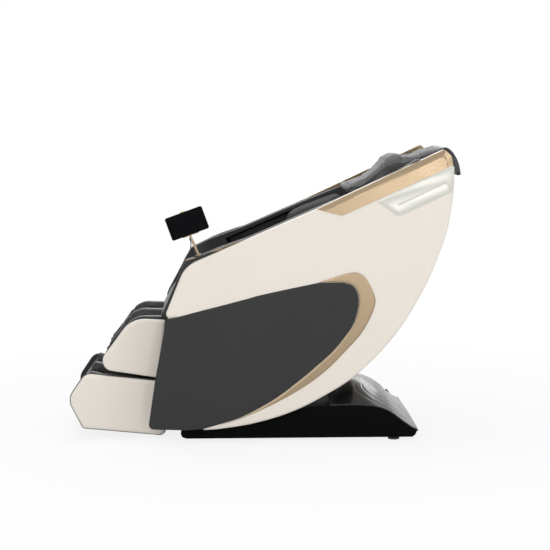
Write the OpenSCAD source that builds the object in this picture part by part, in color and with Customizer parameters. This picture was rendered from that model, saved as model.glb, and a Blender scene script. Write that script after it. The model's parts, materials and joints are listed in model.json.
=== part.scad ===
// Capsule massage chair: a reclining shell on a low base, with a lifting calf rest,
// a foot rest that slides out of it, a massage carriage behind the back pad and a
// tablet on a swivel post.
// +Z is up, -X is the front, where the feet are, and the origin lies on the floor
// below the middle of the base. "left" is the sitter's left, which is the -Y side.

/* [Side shells] */
// Distance from the centre plane to the outer face of the side panels
panel_face_y = 380; // [372:1:392]
// Depth of a side panel
panel_depth = 36; // [28:1:44]
// Radius of the round along a side panel's outer edge
panel_round = 26; // [10:1:27]
// Height of the dark insert and its gold crescent above the side panel
insert_proud = 5; // [3:1:8]
// Dark seam left between the insert, the crescent and their neighbours
seam = 1.5; // [1:0.5:3]
// Height of the top rail's face above the side panel
rail_proud = 4; // [2:1:6]
// Width of the bevel along the top rail
rail_bevel = 20; // [12:1:26]
// Thickness of the silver speaker panel
speaker_t = 3; // [2:0.5:5]
// Width of the sound slit in the speaker panel
slit_w = 5; // [3:0.5:8]
// Thickness of the rear shell's sheet
rear_shell_t = 5; // [3:0.5:8]
// Inset of the rear shell from the side panels' rear edge
rear_shell_inset = 9; // [6:1:14]

/* [Arms] */
// Distance from the centre plane to the inner face of an arm
arm_inner_y = 266; // [265:1:272]
// Wall of the inner shells
arm_wall = 7; // [5:1:9]
// Height of the arm slot, square to the arm
slot_h = 104; // [90:2:120]
// Thickness of the arm's top above the slot
arm_top_t = 26; // [20:1:34]
// Thickness of the padding inside the arm slot
arm_pad_t = 14; // [8:1:18]
// Thickness of the gold vent on the arm's outer edge
vent_t = 4; // [3:0.5:6]

/* [Seat and back] */
// Thickness of the seat cushion
seat_t = 74; // [60:1:84]
// Thickness of the back pad
back_pad_t = 54; // [40:1:58]
// Angle of the back from the floor
back_angle = 52.5; // [52:0.5:53]
// Half of the width of the head pillow
pillow_half_w = 176; // [150:1:190]
// Width of a shoulder wing, from the arm inwards
wing_w = 64; // [50:1:75]

/* [Leg rest] */
// Thickness of their cream side plates
leg_side_t = 12; // [8:1:14]
// Half of the width of the wall between the two leg channels
leg_mid_half = 32; // [26:1:40]
// Thickness of the outer walls of the leg channels
leg_wall = 46; // [38:1:54]
// Radius of the rods that carry the foot rest
slide_rod_r = 8; // [6:0.5:10]
// Distance of those rods from the centre plane
slide_rod_y = 130; // [110:1:150]
// Length of a slide rod inside the calf frame
slide_rod_len = 258; // [250:1:262]
// Wall of the tubes that guide the slide rods
guide_wall = 5; // [4:0.5:6]
// Radius of the sole roller
sole_roller_r = 15; // [12:1:16]

/* [Steelwork] */
// Thickness of the plates at the sides of the body frame
frame_plate_t = 14; // [12:1:14]
// Thickness of the seat pan
seat_pan_t = 6; // [4:1:8]
// Radius of the pivot shaft that the whole shell tilts on
pivot_r = 14; // [12:0.5:18]
// Radius of the leg rest's hinge pins
hinge_pin_r = 10; // [8:0.5:12]
// Radius of the cross tubes
cross_tube_r = 15; // [12:1:17]
// Radial clearance between a pin and the bore it turns in
pin_clear = 0.05; // [0.03:0.01:0.09]
// Play between parts that slide or swing past each other
play = 2; // [1:0.5:3]
// Thickness of the base's pivot brackets
bracket_t = 14; // [10:1:16]
// Radius of the outer tube of an actuator
actuator_r = 17; // [15:1:19]
// Radius of the rod of an actuator
actuator_rod_r = 9; // [7:0.5:11]
// Radius of the pins at the ends of an actuator
actuator_pin_r = 6; // [5:0.5:7]

/* [Massage carriage] */
// Radius of the guide rods of the carriage
rail_r = 8; // [6:0.5:9]
// Distance of the guide rods from the centre plane
rail_y = 190; // [180:1:200]
// Radius of a massage roller
roller_r = 22; // [18:1:24]
// Width of a massage roller
roller_w = 32; // [26:1:36]
// Distance between a pair of massage rollers
roller_gap = 100; // [90:1:120]
// Distance of the massage rollers from the centre plane
roller_y = 62; // [54:1:70]

/* [Base] */
// Half of the width of the base
base_half_w = 332; // [326:1:336]
// Wall of the base's plastic skirt
skirt_wall = 5; // [4:0.5:8]
// Thickness of the dome cover
dome_wall = 4; // [3:0.5:6]
// Height of the feet
foot_h = 14; // [12:1:18]
// Radius of a foot
foot_r = 24; // [18:1:28]
// Radius of a transport wheel
wheel_r = 20; // [16:1:21]
// Width of a transport wheel
wheel_w = 18; // [14:1:22]

/* [Tablet] */
// Width of the tablet
tablet_w = 157; // [140:1:190]
// Height of the tablet
tablet_h = 95; // [85:1:120]
// Thickness of the tablet
tablet_t = 9; // [7:0.5:12]
// Angle at which the tablet is turned in its own plane
tablet_roll = 20; // [10:1:30]
// Length of the post between its flange and the tablet's joint
post_len = 115; // [104:1:124]
// Radius of the post at its foot
post_r = 6; // [5:0.5:8]
// Radius of the post's flange
post_flange_r = 12; // [11:0.5:13]
// Radius of the tablet's lead
lead_r = 2; // [1.5:0.5:2.5]

/* [Hidden] */
$fn = 40;
LEFT = -1;
RIGHT = 1;
eps = 0.01;
arc_steps = 5;

cream = [0.894, 0.863, 0.820];
charcoal = [0.25, 0.25, 0.255];
leather = [0.13, 0.13, 0.14];
gold = [0.82, 0.725, 0.6];
silver = [0.86, 0.86, 0.85];
steel = [0.55, 0.56, 0.58];
black = [0.09, 0.09, 0.095];
grey = [0.44, 0.44, 0.44];

// ---- places shared by several parts ----
// The pivot of the whole shell, the leg rest's hinge and the actuators' pins, as [x, z]
pivot = [60, 230];
hinge = [-530, 520];
tilt_foot_pin = [-256, 58];
tilt_rod_pin = [-297, 302];
// Middle of the back, where the seat meets it, and the way that the foot rest slides
back_foot = [-60, 545];
slide_angle = 8.9;
slide_start = [-540, 400];

panel_in_y = panel_face_y - panel_depth;
insert_face_y = panel_face_y + insert_proud;
rail_face_y = panel_face_y + rail_proud;
frame_in_y = arm_inner_y - frame_plate_t;
bracket_y = frame_in_y - play - bracket_t;
cushion_half_w = frame_in_y - play;
leg_half_w = arm_inner_y - 2 * play;
leg_cushion_half = leg_half_w - leg_side_t;

// ---- shapes ----
function unit2(v) = v / norm(v);

// Arc of radius r that rounds the corner b between a and c
function corner_arc(a, b, c, r) =
    let(u = unit2(a - b), w = unit2(c - b), half = acos(max(-1, min(1, u * w))) / 2,
        centre = b + unit2(u + w) * r / sin(half), start = b + u * r / tan(half) - centre,
        end = b + w * r / tan(half) - centre, a0 = atan2(start[1], start[0]),
        turn = atan2(end[1], end[0]) - a0, sweep = turn > 180 ? turn - 360 : turn < -180 ? turn + 360 : turn)
    [for (i = [0:arc_steps]) centre + r * [cos(a0 + sweep * i / arc_steps), sin(a0 + sweep * i / arc_steps)]];

// Closed outline from corners [x, z, radius]
function rounded(p) =
    let(n = len(p))
    [for (i = [0:n - 1])
        let(a = p[(i + n - 1) % n], b = p[i], c = p[(i + 1) % n])
        each (b[2] == 0 ? [[b[0], b[1]]] : corner_arc([a[0], a[1]], [b[0], b[1]], [c[0], c[1]], b[2]))];

// Smooth curve through the points p, with n steps between neighbours
function smooth(p, n) =
    let(last = len(p) - 1)
    [for (i = [0:last - 1], k = [0:n - 1])
        let(a = p[max(i - 1, 0)], b = p[i], c = p[i + 1], d = p[min(i + 2, last)], t = k / n)
        0.5 * (2 * b + (c - a) * t + (2 * a - 5 * b + 4 * c - d) * t * t
            + (3 * b - a - 3 * c + d) * t * t * t),
        p[last]];

// Closed outline moved inwards by d; the outline runs clockwise in x and z
function inset(p, d) =
    let(n = len(p))
    [for (i = [0:n - 1])
        let(u = unit2(p[i] - p[(i + n - 1) % n]), w = unit2(p[(i + 1) % n] - p[i]), m = unit2(u + w))
        p[i] + d * [m[1], -m[0]]];

// Open curve moved to its right by d
function beside(p, d) =
    let(last = len(p) - 1)
    [for (i = [0:last]) let(m = unit2(p[min(i + 1, last)] - p[max(i - 1, 0)])) p[i] + d * [m[1], -m[0]]];

function reversed(p) = [for (i = [len(p) - 1:-1:0]) p[i]];

// Plate with the outline p in x and z, from y0 to y1
module slab(p, y0, y1) {
    translate([0, y1, 0])
        rotate([90, 0, 0])
            linear_extrude(y1 - y0)
                polygon(p);
}

// Solid through rings of equal length with flat ends; a ring runs clockwise to one who looks
// from it to the next
module loft(rings) {
    n = len(rings[0]);
    last = len(rings) - 1;
    sides = [for (i = [0:last - 1], j = [0:n - 1])
        let(k = (j + 1) % n)
        each [[i * n + j, i * n + k, (i + 1) * n + k], [i * n + j, (i + 1) * n + k, (i + 1) * n + j]]];
    first_cap = [[for (j = [n - 1:-1:0]) j]];
    last_cap = [[for (j = [0:n - 1]) last * n + j]];
    polyhedron(points = [for (r = rings) each r], faces = concat(sides, first_cap, last_cap), convexity = 6);
}

// Solid through outlines across the chair, each [y, outline in x and z]
module skin(outlines) {
    loft([for (r = outlines) [for (q = r[1]) [q[0], r[0], q[1]]]]);
}

// Round tube of radius r along the points of a path
module sweep(path, r) {
    last = len(path) - 1;
    loft([for (i = [0:last])
        let(ahead = unit2(path[min(i + 1, last)] - path[max(i - 1, 0)]), up = unit2(cross(ahead, [0, 1, 0])),
            aside = cross(ahead, up))
        [for (a = [0:45:315]) path[i] + r * (cos(a) * up + sin(a) * aside)]]);
}

// Round bar along y at [x, z], from y0 to y1
module bar(at, r, y0, y1) {
    translate([at[0], y1, at[1]])
        rotate([90, 0, 0])
            cylinder(r = r, h = y1 - y0);
}

// Children built for the right-hand side, put on the named side
module on_side(side) {
    mirror([0, side == LEFT ? 1 : 0, 0])
        children();
}

// Children on both sides
module both_sides() {
    on_side(LEFT) children();
    on_side(RIGHT) children();
}

// Frame of the back: +X up along it, +Z towards the sitter
module on_back() {
    translate([back_foot[0], 0, back_foot[1]])
        rotate([0, -back_angle, 0])
            children();
}

// Frame of the foot slide: +Z up along the rods
module on_slide() {
    translate([slide_start[0], 0, slide_start[1]])
        rotate([0, slide_angle, 0])
            children();
}

// Point at s along the back and d in front of it
function back_point(s, d) = back_foot + s * [cos(back_angle), sin(back_angle)]
    + d * [-sin(back_angle), cos(back_angle)];

// ---- outlines of the shell, in x and z ----
rail_slope = 25;
rail_tip = [60, 951];
rail_low = [163, 926];
rail_end_low = [606, 1128];
rail_end = [598, 1164];
rail_top = [571, 1189];
nose = [-549, 517];
arm_corner = [-466, 723];
shell_tip = [-389, 65];
seam_start = [-500, 521];
rear_curve = smooth([rail_end_low, [611, 1050], [600, 944], [574, 827], [497, 634], [377, 439],
    [165, 245], [-114, 115], shell_tip], 4);
notch = corner_arc(rail_tip, rail_low, rail_end_low, 24);
panel_outline = concat(corner_arc(seam_start, nose, arm_corner, 24),
    corner_arc(nose, arm_corner, rail_tip, 160), [rail_tip], notch, rear_curve, [seam_start]);

insert_top = [[-541, 518], [-505, 521], [-447, 541], [-358, 572], [-231, 598], [70, 655]];
insert_end = [[167, 657], [206, 644], [227, 610], [230, 565], [213, 496], [177, 439], [124, 375], [52, 310],
    [-25, 246], [-114, 181], [-231, 117], [-320, 86], [-398, 64]];
insert_foot = [[-461, 59], [-560, 64], [-592, 66], [-607, 72], [-614, 88], [-588, 266]];
insert_outline = concat(insert_top, smooth(insert_end, 2), insert_foot);
flange_outline = [[-541, 515], [-504, 517], [-402, 66], [-461, 59], [-560, 64], [-592, 66], [-607, 72],
    [-614, 88], [-588, 266]];
crescent_outer = smooth([[70, 657 + seam], [195, 696], [243, 688], [268, 660], [292, 609], [297, 570],
    [273, 505], [233, 440], [174, 375], [110, 310], [29, 246], [-80, 181], [-219, 116], [-330, 81]], 2);
crescent_inner = beside(smooth([for (i = [0:11]) insert_end[i]], 2), -seam);
crescent_outline = concat(crescent_outer, reversed(crescent_inner));
speaker_outline = rounded([[304, 983, 5], [610, 1122, 3], [602, 1020, 20], [388, 922, 28]]);

inner_front = [-560, 530];
inner_corner = [-474, 732];
inner_shoulder = [182, 1016];
inner_outline = rounded([[inner_front[0], inner_front[1], 10], [inner_corner[0], inner_corner[1], 150],
    [inner_shoulder[0], inner_shoulder[1], 60], [470, 1147, 30], [580, 1148, 16], [572, 1000, 40],
    [420, 760, 60], [120, 390, 30], [-470, 390, 30]]);

// Line of the arm's top, and points measured from it: s along it and d below it
arm_slope = atan2(inner_shoulder[1] - inner_corner[1], inner_shoulder[0] - inner_corner[0]);
arm_line_start = inner_corner + 110 * [cos(arm_slope), sin(arm_slope)];
function arm_point(s, d) = arm_line_start + s * [cos(arm_slope), sin(arm_slope)]
    + d * [sin(arm_slope), -cos(arm_slope)];
slot_start = 70;
slot_end = 400;
slot_outline = [arm_point(slot_start, arm_top_t), arm_point(slot_end, arm_top_t),
    arm_point(slot_end, arm_top_t + slot_h), arm_point(slot_start, arm_top_t + slot_h)];

// ---- base ----
tray_top = [[-480, 56], [-420, 66], [-200, 88], [-20, 130], [60, 141]];
dome_side = [[121, 150], [178, 152], [235, 151], [290, 148], [321, 145], [360, 137], [394, 127], [425, 114],
    [452, 97], [470, 80], [482, 60], [484, 46]];
dome_mid = [[121, 158], [178, 190], [240, 209], [280, 212], [320, 198], [352, 183], [376, 167], [402, 138],
    [430, 104], [456, 75], [482, 50], [492, 36]];
tray_outline = concat([[-482, 20], [-488, 32], [-487, 46]], tray_top, beside(dome_side, dome_wall),
    [[472, 24], [460, foot_h], [-466, foot_h]]);
tray_floor_t = 4;
deck = foot_h + tray_floor_t;
lug_t = 8;
beam_h = 22;
through = 300;
wheel_at = [-430, 32];
wheel_pin_r = 6;
wheel_y = 168;
front_foot = [-400, 200];
rear_foot = [386, 296];
switch_at = [300, 84];
switch_size = [18, 15];
switch_swing = 12;
inlet_at = [360, 80];
inlet_size = [28, 20];
inlet_wall = 3;
inlet_fit = 0.25;

module base_frame() {
    color(steel) {
        difference() {
            union() {
                both_sides() {
                    slab([[-30, deck], [150, deck], [100, 240], [84, 262], [60, 270], [36, 262], [20, 240]],
                        bracket_y, bracket_y + bracket_t);
                    slab([[-440, deck], [440, deck], [440, deck + 30], [-440, deck + 30]],
                        bracket_y - 30, bracket_y + bracket_t);
                    slab([[-396, deck], [-376, deck], [-376, deck + beam_h], [-396, deck + beam_h]],
                        0, bracket_y);
                    bar(wheel_at, wheel_pin_r, wheel_y - wheel_w / 2 - 3, bracket_y);
                }
                for (x = [-300, -120, 20, 300])
                    slab([[x - 20, deck], [x + 20, deck], [x + 20, deck + beam_h], [x - 20, deck + beam_h]],
                        -bracket_y, bracket_y);
                both_sides()
                    slab([[-292, deck], [-222, deck], [-240, 74], [-272, 74]], actuator_r + play,
                        actuator_r + play + lug_t);
            }
            bar(pivot, pivot_r + pin_clear, -through, through);
        }
        bar(tilt_foot_pin, actuator_pin_r, -actuator_r - play - lug_t, actuator_r + play + lug_t);
    }
}

module base_tray() {
    inner = [[-480, foot_h + tray_floor_t], [470, foot_h + tray_floor_t], [478, 60], [478, 240], [-480, 240]];
    color(black)
        difference() {
            slab(tray_outline, -base_half_w, base_half_w);
            slab(inner, -base_half_w + skirt_wall, base_half_w - skirt_wall);
            both_sides()
                translate([wheel_at[0] - wheel_r - play, wheel_y - wheel_w / 2 - play, 0])
                    cube([2 * (wheel_r + play), wheel_w + 2 * play, 40]);
            translate([switch_at[0], base_half_w, switch_at[1]])
                cube([switch_size[0] + 2 * play, 20, switch_size[1] + 2 * inlet_fit], center = true);
            translate([inlet_at[0], base_half_w, inlet_at[1]])
                cube([inlet_size[0], 20, inlet_size[1]], center = true);
        }
}

// Outline of the dome at y: its top lies between the rim and the crown
function dome_ring(y) =
    let(rise = 1 - pow(abs(y) / base_half_w, 2.6),
        top = [for (i = [0:len(dome_side) - 1]) dome_side[i] + (dome_mid[i] - dome_side[i]) * rise])
    concat(top, reversed(beside(top, dome_wall)));

module base_dome() {
    color(black)
        skin([for (y = [-1, -0.97, -0.9, -0.78, -0.6, -0.4, -0.2, 0, 0.2, 0.4, 0.6, 0.78, 0.9, 0.97, 1])
            [y * base_half_w, dome_ring(y * base_half_w)]]);
}

module base_feet() {
    color(black) {
        for (at = [front_foot, rear_foot])
            both_sides()
                translate([at[0], at[1], 0])
                    cylinder(r = foot_r, h = foot_h);
        cylinder(r = foot_r, h = foot_h);
    }
}

module pivot_shaft() {
    color(steel) {
        bar(pivot, pivot_r, -arm_inner_y - play, arm_inner_y + play);
        both_sides()
            bar(pivot, pivot_r + 6, arm_inner_y + play, arm_inner_y + play + 6);
    }
}

module control_box() {
    color(charcoal)
        difference() {
            translate([160, -130, deck + beam_h])
                cube([180, 260, 70]);
            for (i = [0:8])
                translate([180 + i * 16, -131, deck + beam_h + 20])
                    cube([6, 6, 34]);
        }
}

module air_pump() {
    color(charcoal) {
        translate([-185, -95, deck + beam_h])
            cube([130, 190, 30]);
        for (x = [-150, -90])
            translate([x, 0, deck + beam_h + 30 - eps])
                cylinder(r = 24, h = 34);
        translate([-120, 60, deck + beam_h + 30 - eps])
            cylinder(r = 5, h = 22);
    }
}

module mains_inlet() {
    color(black)
        difference() {
            union() {
                translate([inlet_at[0] - 24, base_half_w, inlet_at[1] - 15])
                    cube([48, 3, 30]);
                translate([inlet_at[0] - inlet_size[0] / 2 + inlet_fit, base_half_w - 24,
                    inlet_at[1] - inlet_size[1] / 2 + inlet_fit])
                    cube([inlet_size[0] - 2 * inlet_fit, 24 + eps, inlet_size[1] - 2 * inlet_fit]);
            }
            translate([inlet_at[0], base_half_w, inlet_at[1]])
                cube([inlet_size[0] - 2 * inlet_wall, 36, inlet_size[1] - 2 * inlet_wall], center = true);
        }
}

module power_switch() {
    color(black)
        translate([switch_at[0], base_half_w - 12, switch_at[1]])
            rotate([0, 0, -switch_swing / 2])
                intersection() {
                    translate([-switch_size[0] / 2, 4, -switch_size[1] / 2])
                        cube([switch_size[0], 14, switch_size[1]]);
                    cylinder(r = 15, h = 30, center = true);
                }
}

module transport_wheel(side) {
    color(black)
        on_side(side)
            difference() {
                bar(wheel_at, wheel_r, wheel_y - wheel_w / 2, wheel_y + wheel_w / 2);
                bar(wheel_at, wheel_pin_r + pin_clear, 140, 200);
            }
}

// ---- actuators ----
tilt_angle = atan2(tilt_rod_pin[1] - tilt_foot_pin[1], tilt_rod_pin[0] - tilt_foot_pin[0]);
tilt_len = norm(tilt_rod_pin - tilt_foot_pin);
tilt_tube_len = 196;
rod_eye_r = 13;
rod_eye_play = 2.4;

// Frame of the tilt actuator: +X from its foot pin towards its rod pin
module on_tilt() {
    translate([tilt_foot_pin[0], 0, tilt_foot_pin[1]])
        rotate([0, -tilt_angle, 0])
            children();
}

module tilt_tube() {
    color(steel)
        difference() {
            on_tilt()
                union() {
                    bar([0, 0], rod_eye_r, -actuator_r + 2, actuator_r - 2);
                    translate([8, 0, 0])
                        rotate([0, 90, 0])
                            difference() {
                                cylinder(r = actuator_r, h = tilt_tube_len - 8);
                                translate([0, 0, 16])
                                    cylinder(r = actuator_rod_r + pin_clear, h = tilt_tube_len);
                            }
                }
            bar(tilt_foot_pin, actuator_pin_r + pin_clear, -40, 40);
        }
}

module tilt_rod() {
    color(silver)
        on_tilt()
            difference() {
                union() {
                    translate([30, 0, 0])
                        rotate([0, 90, 0])
                            cylinder(r = actuator_rod_r, h = tilt_len - 38);
                    bar([tilt_len, 0], rod_eye_r, -9, 9);
                }
                bar([tilt_len, 0], actuator_pin_r + rod_eye_play, -20, 20);
            }
}

// Leg actuator: its tube is fixed under the seat, its rod pushes a slotted lever on the leg hinge
leg_act_y = 90;
lever_len = 62;
lever_t = 8;
leg_swing = 60;
leg_pin = [hinge[0] + lever_len * tan(leg_swing / 2), hinge[1] - lever_len];
leg_tube_start = leg_pin[0] + 66;
leg_tube_len = 190;
lever_play = 1.8;
slot_near = lever_len - actuator_pin_r - lever_play;
slot_far = lever_len / cos(leg_swing / 2) + actuator_pin_r + lever_play;
block_from = leg_tube_start + 110;
block_to = leg_tube_start + 170;

module leg_tube() {
    color(steel)
        difference() {
            union() {
                translate([leg_tube_start, leg_act_y, leg_pin[1]])
                    rotate([0, 90, 0])
                        cylinder(r = actuator_r, h = leg_tube_len);
                slab([[block_from, leg_pin[1]], [block_to, leg_pin[1]], [block_to, seat_pan_low(block_to)],
                    [block_from, seat_pan_low(block_from)]], leg_act_y - 12, leg_act_y + 12);
            }
            translate([leg_tube_start - 1, leg_act_y, leg_pin[1]])
                rotate([0, 90, 0])
                    cylinder(r = actuator_rod_r + pin_clear, h = leg_tube_len - 14);
        }
}

module leg_rod() {
    color(silver) {
        translate([leg_pin[0], leg_act_y, leg_pin[1]])
            rotate([0, 90, 0])
                cylinder(r = actuator_rod_r, h = 220);
        bar(leg_pin, actuator_pin_r, leg_act_y - 20, leg_act_y + 20);
    }
}

// ---- body frame ----
pan_front = [-478, 499];
pan_rear = [-96, 472];
pan_slope = (pan_rear[1] - pan_front[1]) / (pan_rear[0] - pan_front[0]);
function seat_pan_top(x) = pan_front[1] + (x - pan_front[0]) * pan_slope;
function seat_pan_low(x) = seat_pan_top(x) - seat_pan_t;
plate_behind = back_pad_t + 96;
rod_behind = back_pad_t + 44;
rod_from = 10;
rod_to = 560;
plate_to = rod_to + 40;

module body_frame() {
    plate_outline = concat(
        [[-552, 530], [-544, 540], [-530, 545], [-512, 540], [-500, 499], pan_front, pan_rear,
            back_point(-10, -back_pad_t), back_point(plate_to, -back_pad_t),
            back_point(plate_to, -plate_behind), back_point(0, -plate_behind)],
        [[112, 250], [104, 202], [60, 182], [14, 205], [-110, 380], [-420, 402], [-545, 498]]);
    color(steel) {
        difference() {
            union() {
                both_sides()
                    slab(plate_outline, frame_in_y, arm_inner_y);
                slab([pan_front, pan_rear, pan_rear - [0, seat_pan_t], pan_front - [0, seat_pan_t]],
                    -frame_in_y - 1, frame_in_y + 1);
                for (at = [back_point(-30, 20 - plate_behind), back_point(plate_to - 10, 30 - plate_behind),
                    [-420, 422]])
                    bar(at, cross_tube_r, -frame_in_y - 1, frame_in_y + 1);
                on_back()
                    for (s = [rod_from, rod_to])
                        translate([s, -frame_in_y - 1, -rod_behind - 20])
                            cube([10, 2 * frame_in_y + 2, 40]);
                both_sides()
                    slab([[-345, 485], [-250, 480], [-280, 292], [-290, 286], [-304, 286], [-314, 292]],
                        actuator_r - 4, actuator_r - 4 + lug_t);
            }
            bar(pivot, pivot_r + pin_clear, -through, through);
            bar(hinge, hinge_pin_r + pin_clear, -through, through);
            on_back()
                both_sides()
                    translate([0, rail_y, -rod_behind])
                        rotate([0, 90, 0])
                            cylinder(r = rail_r + pin_clear, h = rod_to + 40);
        }
        bar(tilt_rod_pin, actuator_pin_r, -actuator_r - 2, actuator_r + 2);
    }
}

module guide_rods() {
    color(silver)
        on_back()
            both_sides()
                translate([rod_from, rail_y, -rod_behind])
                    rotate([0, 90, 0])
                        cylinder(r = rail_r, h = rod_to - rod_from + 10);
}

// ---- shell ----
// Rings of a panel whose outer edge is rounded by r, from y0 out to y1
function dished(p, y0, y1, r) = concat([[y0, p]],
    [for (a = [0:22.5:90]) [y1 - r * (1 - sin(a)), inset(p, r * (1 - cos(a)))]]);

module side_panel(side) {
    color(cream)
        on_side(side)
            skin(dished(panel_outline, panel_in_y, panel_face_y, panel_round));
}

module insert_panel(side) {
    color(charcoal)
        on_side(side) {
            slab(insert_outline, panel_face_y, insert_face_y);
            slab(flange_outline, panel_in_y, panel_face_y);
        }
}

module crescent_trim(side) {
    color(gold)
        on_side(side)
            slab(crescent_outline, panel_face_y, insert_face_y);
}

module top_rail(side) {
    lean = [-sin(rail_slope), cos(rail_slope)];
    full = concat([rail_tip, rail_top, rail_end, rail_end_low], reversed(notch));
    face = concat([rail_tip + [22, -4], rail_top - lean * rail_bevel + [6, 0], rail_end - [0, 4],
        rail_end_low + [0, 2]], reversed([for (q = notch) q + [0, 1]]));
    color(gold)
        on_side(side)
            skin([[panel_in_y, full], [rail_face_y - 12, full], [rail_face_y, face]]);
}

module speaker_panel(side) {
    slit_start = [388, 966];
    slit_len = 206;
    color(silver)
        on_side(side)
            difference() {
                slab(speaker_outline, panel_face_y, panel_face_y + speaker_t);
                translate([slit_start[0], panel_face_y - 1, slit_start[1]])
                    rotate([0, -rail_slope, 0])
                        cube([slit_len, speaker_t + 2, slit_w]);
            }
}

module inner_shell(side) {
    lower_cavity = rounded([[-500, 540, 20], [-440, 600, 20], [170, 860, 20], [420, 960, 30], [520, 1010, 20],
        [500, 930, 20], [380, 740, 40], [100, 410, 20], [-460, 410, 20]]);
    color(charcoal)
        on_side(side)
            difference() {
                slab(inner_outline, arm_inner_y, panel_in_y);
                slab(slot_outline, arm_inner_y - 1, panel_in_y - arm_wall);
                difference() {
                    slab(lower_cavity, arm_inner_y + arm_wall, panel_in_y + 1);
                    slab([arm_point(slot_start - arm_wall, -20), arm_point(slot_end + arm_wall, -20),
                        arm_point(slot_end + arm_wall, arm_top_t + slot_h + arm_wall),
                        arm_point(slot_start - arm_wall, arm_top_t + slot_h + arm_wall)], 200, 400);
                }
            }
}

module arm_pad(side) {
    low = arm_top_t + slot_h;
    color(leather)
        on_side(side) {
            slab([arm_point(slot_start, low - arm_pad_t), arm_point(slot_end, low - arm_pad_t),
                arm_point(slot_end, low), arm_point(slot_start, low)], arm_inner_y, panel_in_y - arm_wall);
            slab([arm_point(slot_start, arm_top_t), arm_point(slot_end, arm_top_t),
                arm_point(slot_end, low - arm_pad_t + 1), arm_point(slot_start, low - arm_pad_t + 1)],
                panel_in_y - arm_wall - arm_pad_t, panel_in_y - arm_wall);
        }
}

// Gold vent on the arm's outer edge: a narrow lens with slanted slots that open downwards
vent_front = [-370, 776.5];
vent_crest = [-318, 798];
vent_rear = [-216, 833];
vent_low = [-318, 788.5];
vent_rise = (vent_rear[1] - vent_crest[1]) / (vent_rear[0] - vent_crest[0]);
vent_rim = 2;
vent_slot = [4, 12];
module arm_vent(side) {
    color(gold)
        on_side(side)
            difference() {
                slab([vent_front, vent_crest, vent_rear, vent_low], panel_in_y, panel_in_y + vent_t);
                for (x = [vent_crest[0]:9:-270])
                    let(z = vent_crest[1] + (x - vent_crest[0]) * vent_rise - vent_rim)
                    slab([[x, z], [x + vent_slot[0], z], [x + vent_slot[0] + 10, z - vent_slot[1]],
                        [x + 10, z - vent_slot[1]]], panel_in_y - 1, panel_in_y + vent_t + 1);
            }
}

module rear_shell() {
    outer = beside(rear_curve, rear_shell_inset);
    inner = beside(rear_curve, rear_shell_inset + rear_shell_t);
    span = [for (i = [0:23]) i];
    color(cream)
        slab(concat([for (i = span) outer[i]], reversed([for (i = span) inner[i]])), -panel_in_y, panel_in_y);
}

// ---- soft parts ----
// Height of a crown across a cushion of half width w: 1 in the middle, lower at the sides
function crown(y, w) = 1 - pow(abs(y) / w, 6);

module seat_cushion() {
    ring = function(y)
        let(lift = 12 * crown(y, cushion_half_w), pinch = abs(y) > 0.98 * cushion_half_w ? 6 : 0)
        rounded([[pan_front[0], pan_front[1], 6], [-490, 548, 12], [-538 + pinch, 552, 9],
            [-530 + pinch, pan_front[1] + seat_t - pinch, 14],
            [-300, seat_pan_top(-300) + seat_t - 14 + lift, 60],
            [-78, pan_rear[1] + seat_t - 6 + lift / 2 - pinch, 16], [-70, 512, 10],
            [pan_rear[0], pan_rear[1], 6]]);
    color(leather)
        skin([for (k = [-1, -0.96, -0.8, -0.4, 0, 0.4, 0.8, 0.96, 1])
            let(y = k * cushion_half_w) [y, ring(y)]]);
}

module back_pad() {
    ring = function(k)
        let(sink = 14 * pow(abs(k), 6))
        rounded([[back_point(8, -sink)[0], back_point(8, -sink)[1], 14],
            [back_point(566, -sink)[0], back_point(566, -sink)[1], 60],
            [440 + sink / 2, 1084 - sink, 60], [576, 1152 - sink, 12], [582, 1118, 8], [466, 1034, 60],
            [back_point(590, -back_pad_t)[0], back_point(590, -back_pad_t)[1], 30],
            [back_point(4, -back_pad_t)[0], back_point(4, -back_pad_t)[1], 10]]);
    color(leather)
        skin([for (k = [-1, -0.96, -0.8, -0.4, 0, 0.4, 0.8, 0.96, 1]) [k * cushion_half_w, ring(k)]]);
}

module shoulder_wing(side) {
    ring = function(f)
        rounded([[-44 + 14 * f, 862, 28 - 10 * f], [-20 + 6 * f, 900 - 12 * f, 26 - 8 * f],
            [196, 996 - 12 * f, 30], [232 - 10 * f, 960, 24], [206 - 10 * f, 902 + 8 * f, 20],
            [-20 + 10 * f, 806 + 8 * f, 24]]);
    color(leather)
        on_side(side)
            skin([[arm_inner_y - wing_w, ring(1)], [arm_inner_y - wing_w + 10, ring(0.3)],
                [arm_inner_y - wing_w + 26, ring(0)], [arm_inner_y, ring(0)]]);
}

module head_pillow() {
    ring = function(k)
        let(f = pow(abs(k), 5), drop = 34 * f)
        rounded([[184 + 12 * f, 1008, 14], [180 + 10 * f, 1040 - drop / 3, 18], [258, 1078 - drop, 30],
            [340, 1140 - drop, 24], [396, 1168 - drop, 24], [440, 1163 - drop * 0.7, 24],
            [510, 1186 - drop * 0.6, 30], [606, 1192 - 4 * f, 26], [655, 1138, 40], [676, 1074, 5],
            [648, 1080, 5], [628, 1128, 30],
            [603, 1168, 10], [570, 1151, 14], [440, 1085, 60], [284, 996, 30], [236, 978, 16]]);
    color(grey)
        skin([for (k = [-1, -0.97, -0.88, -0.6, 0, 0.6, 0.88, 0.97, 1]) [k * pillow_half_w, ring(k)]]);
}

// ---- leg rest ----
slide_tube_r = slide_rod_r + guide_wall;
guide_len = 210;
guide_low = -128;

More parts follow.
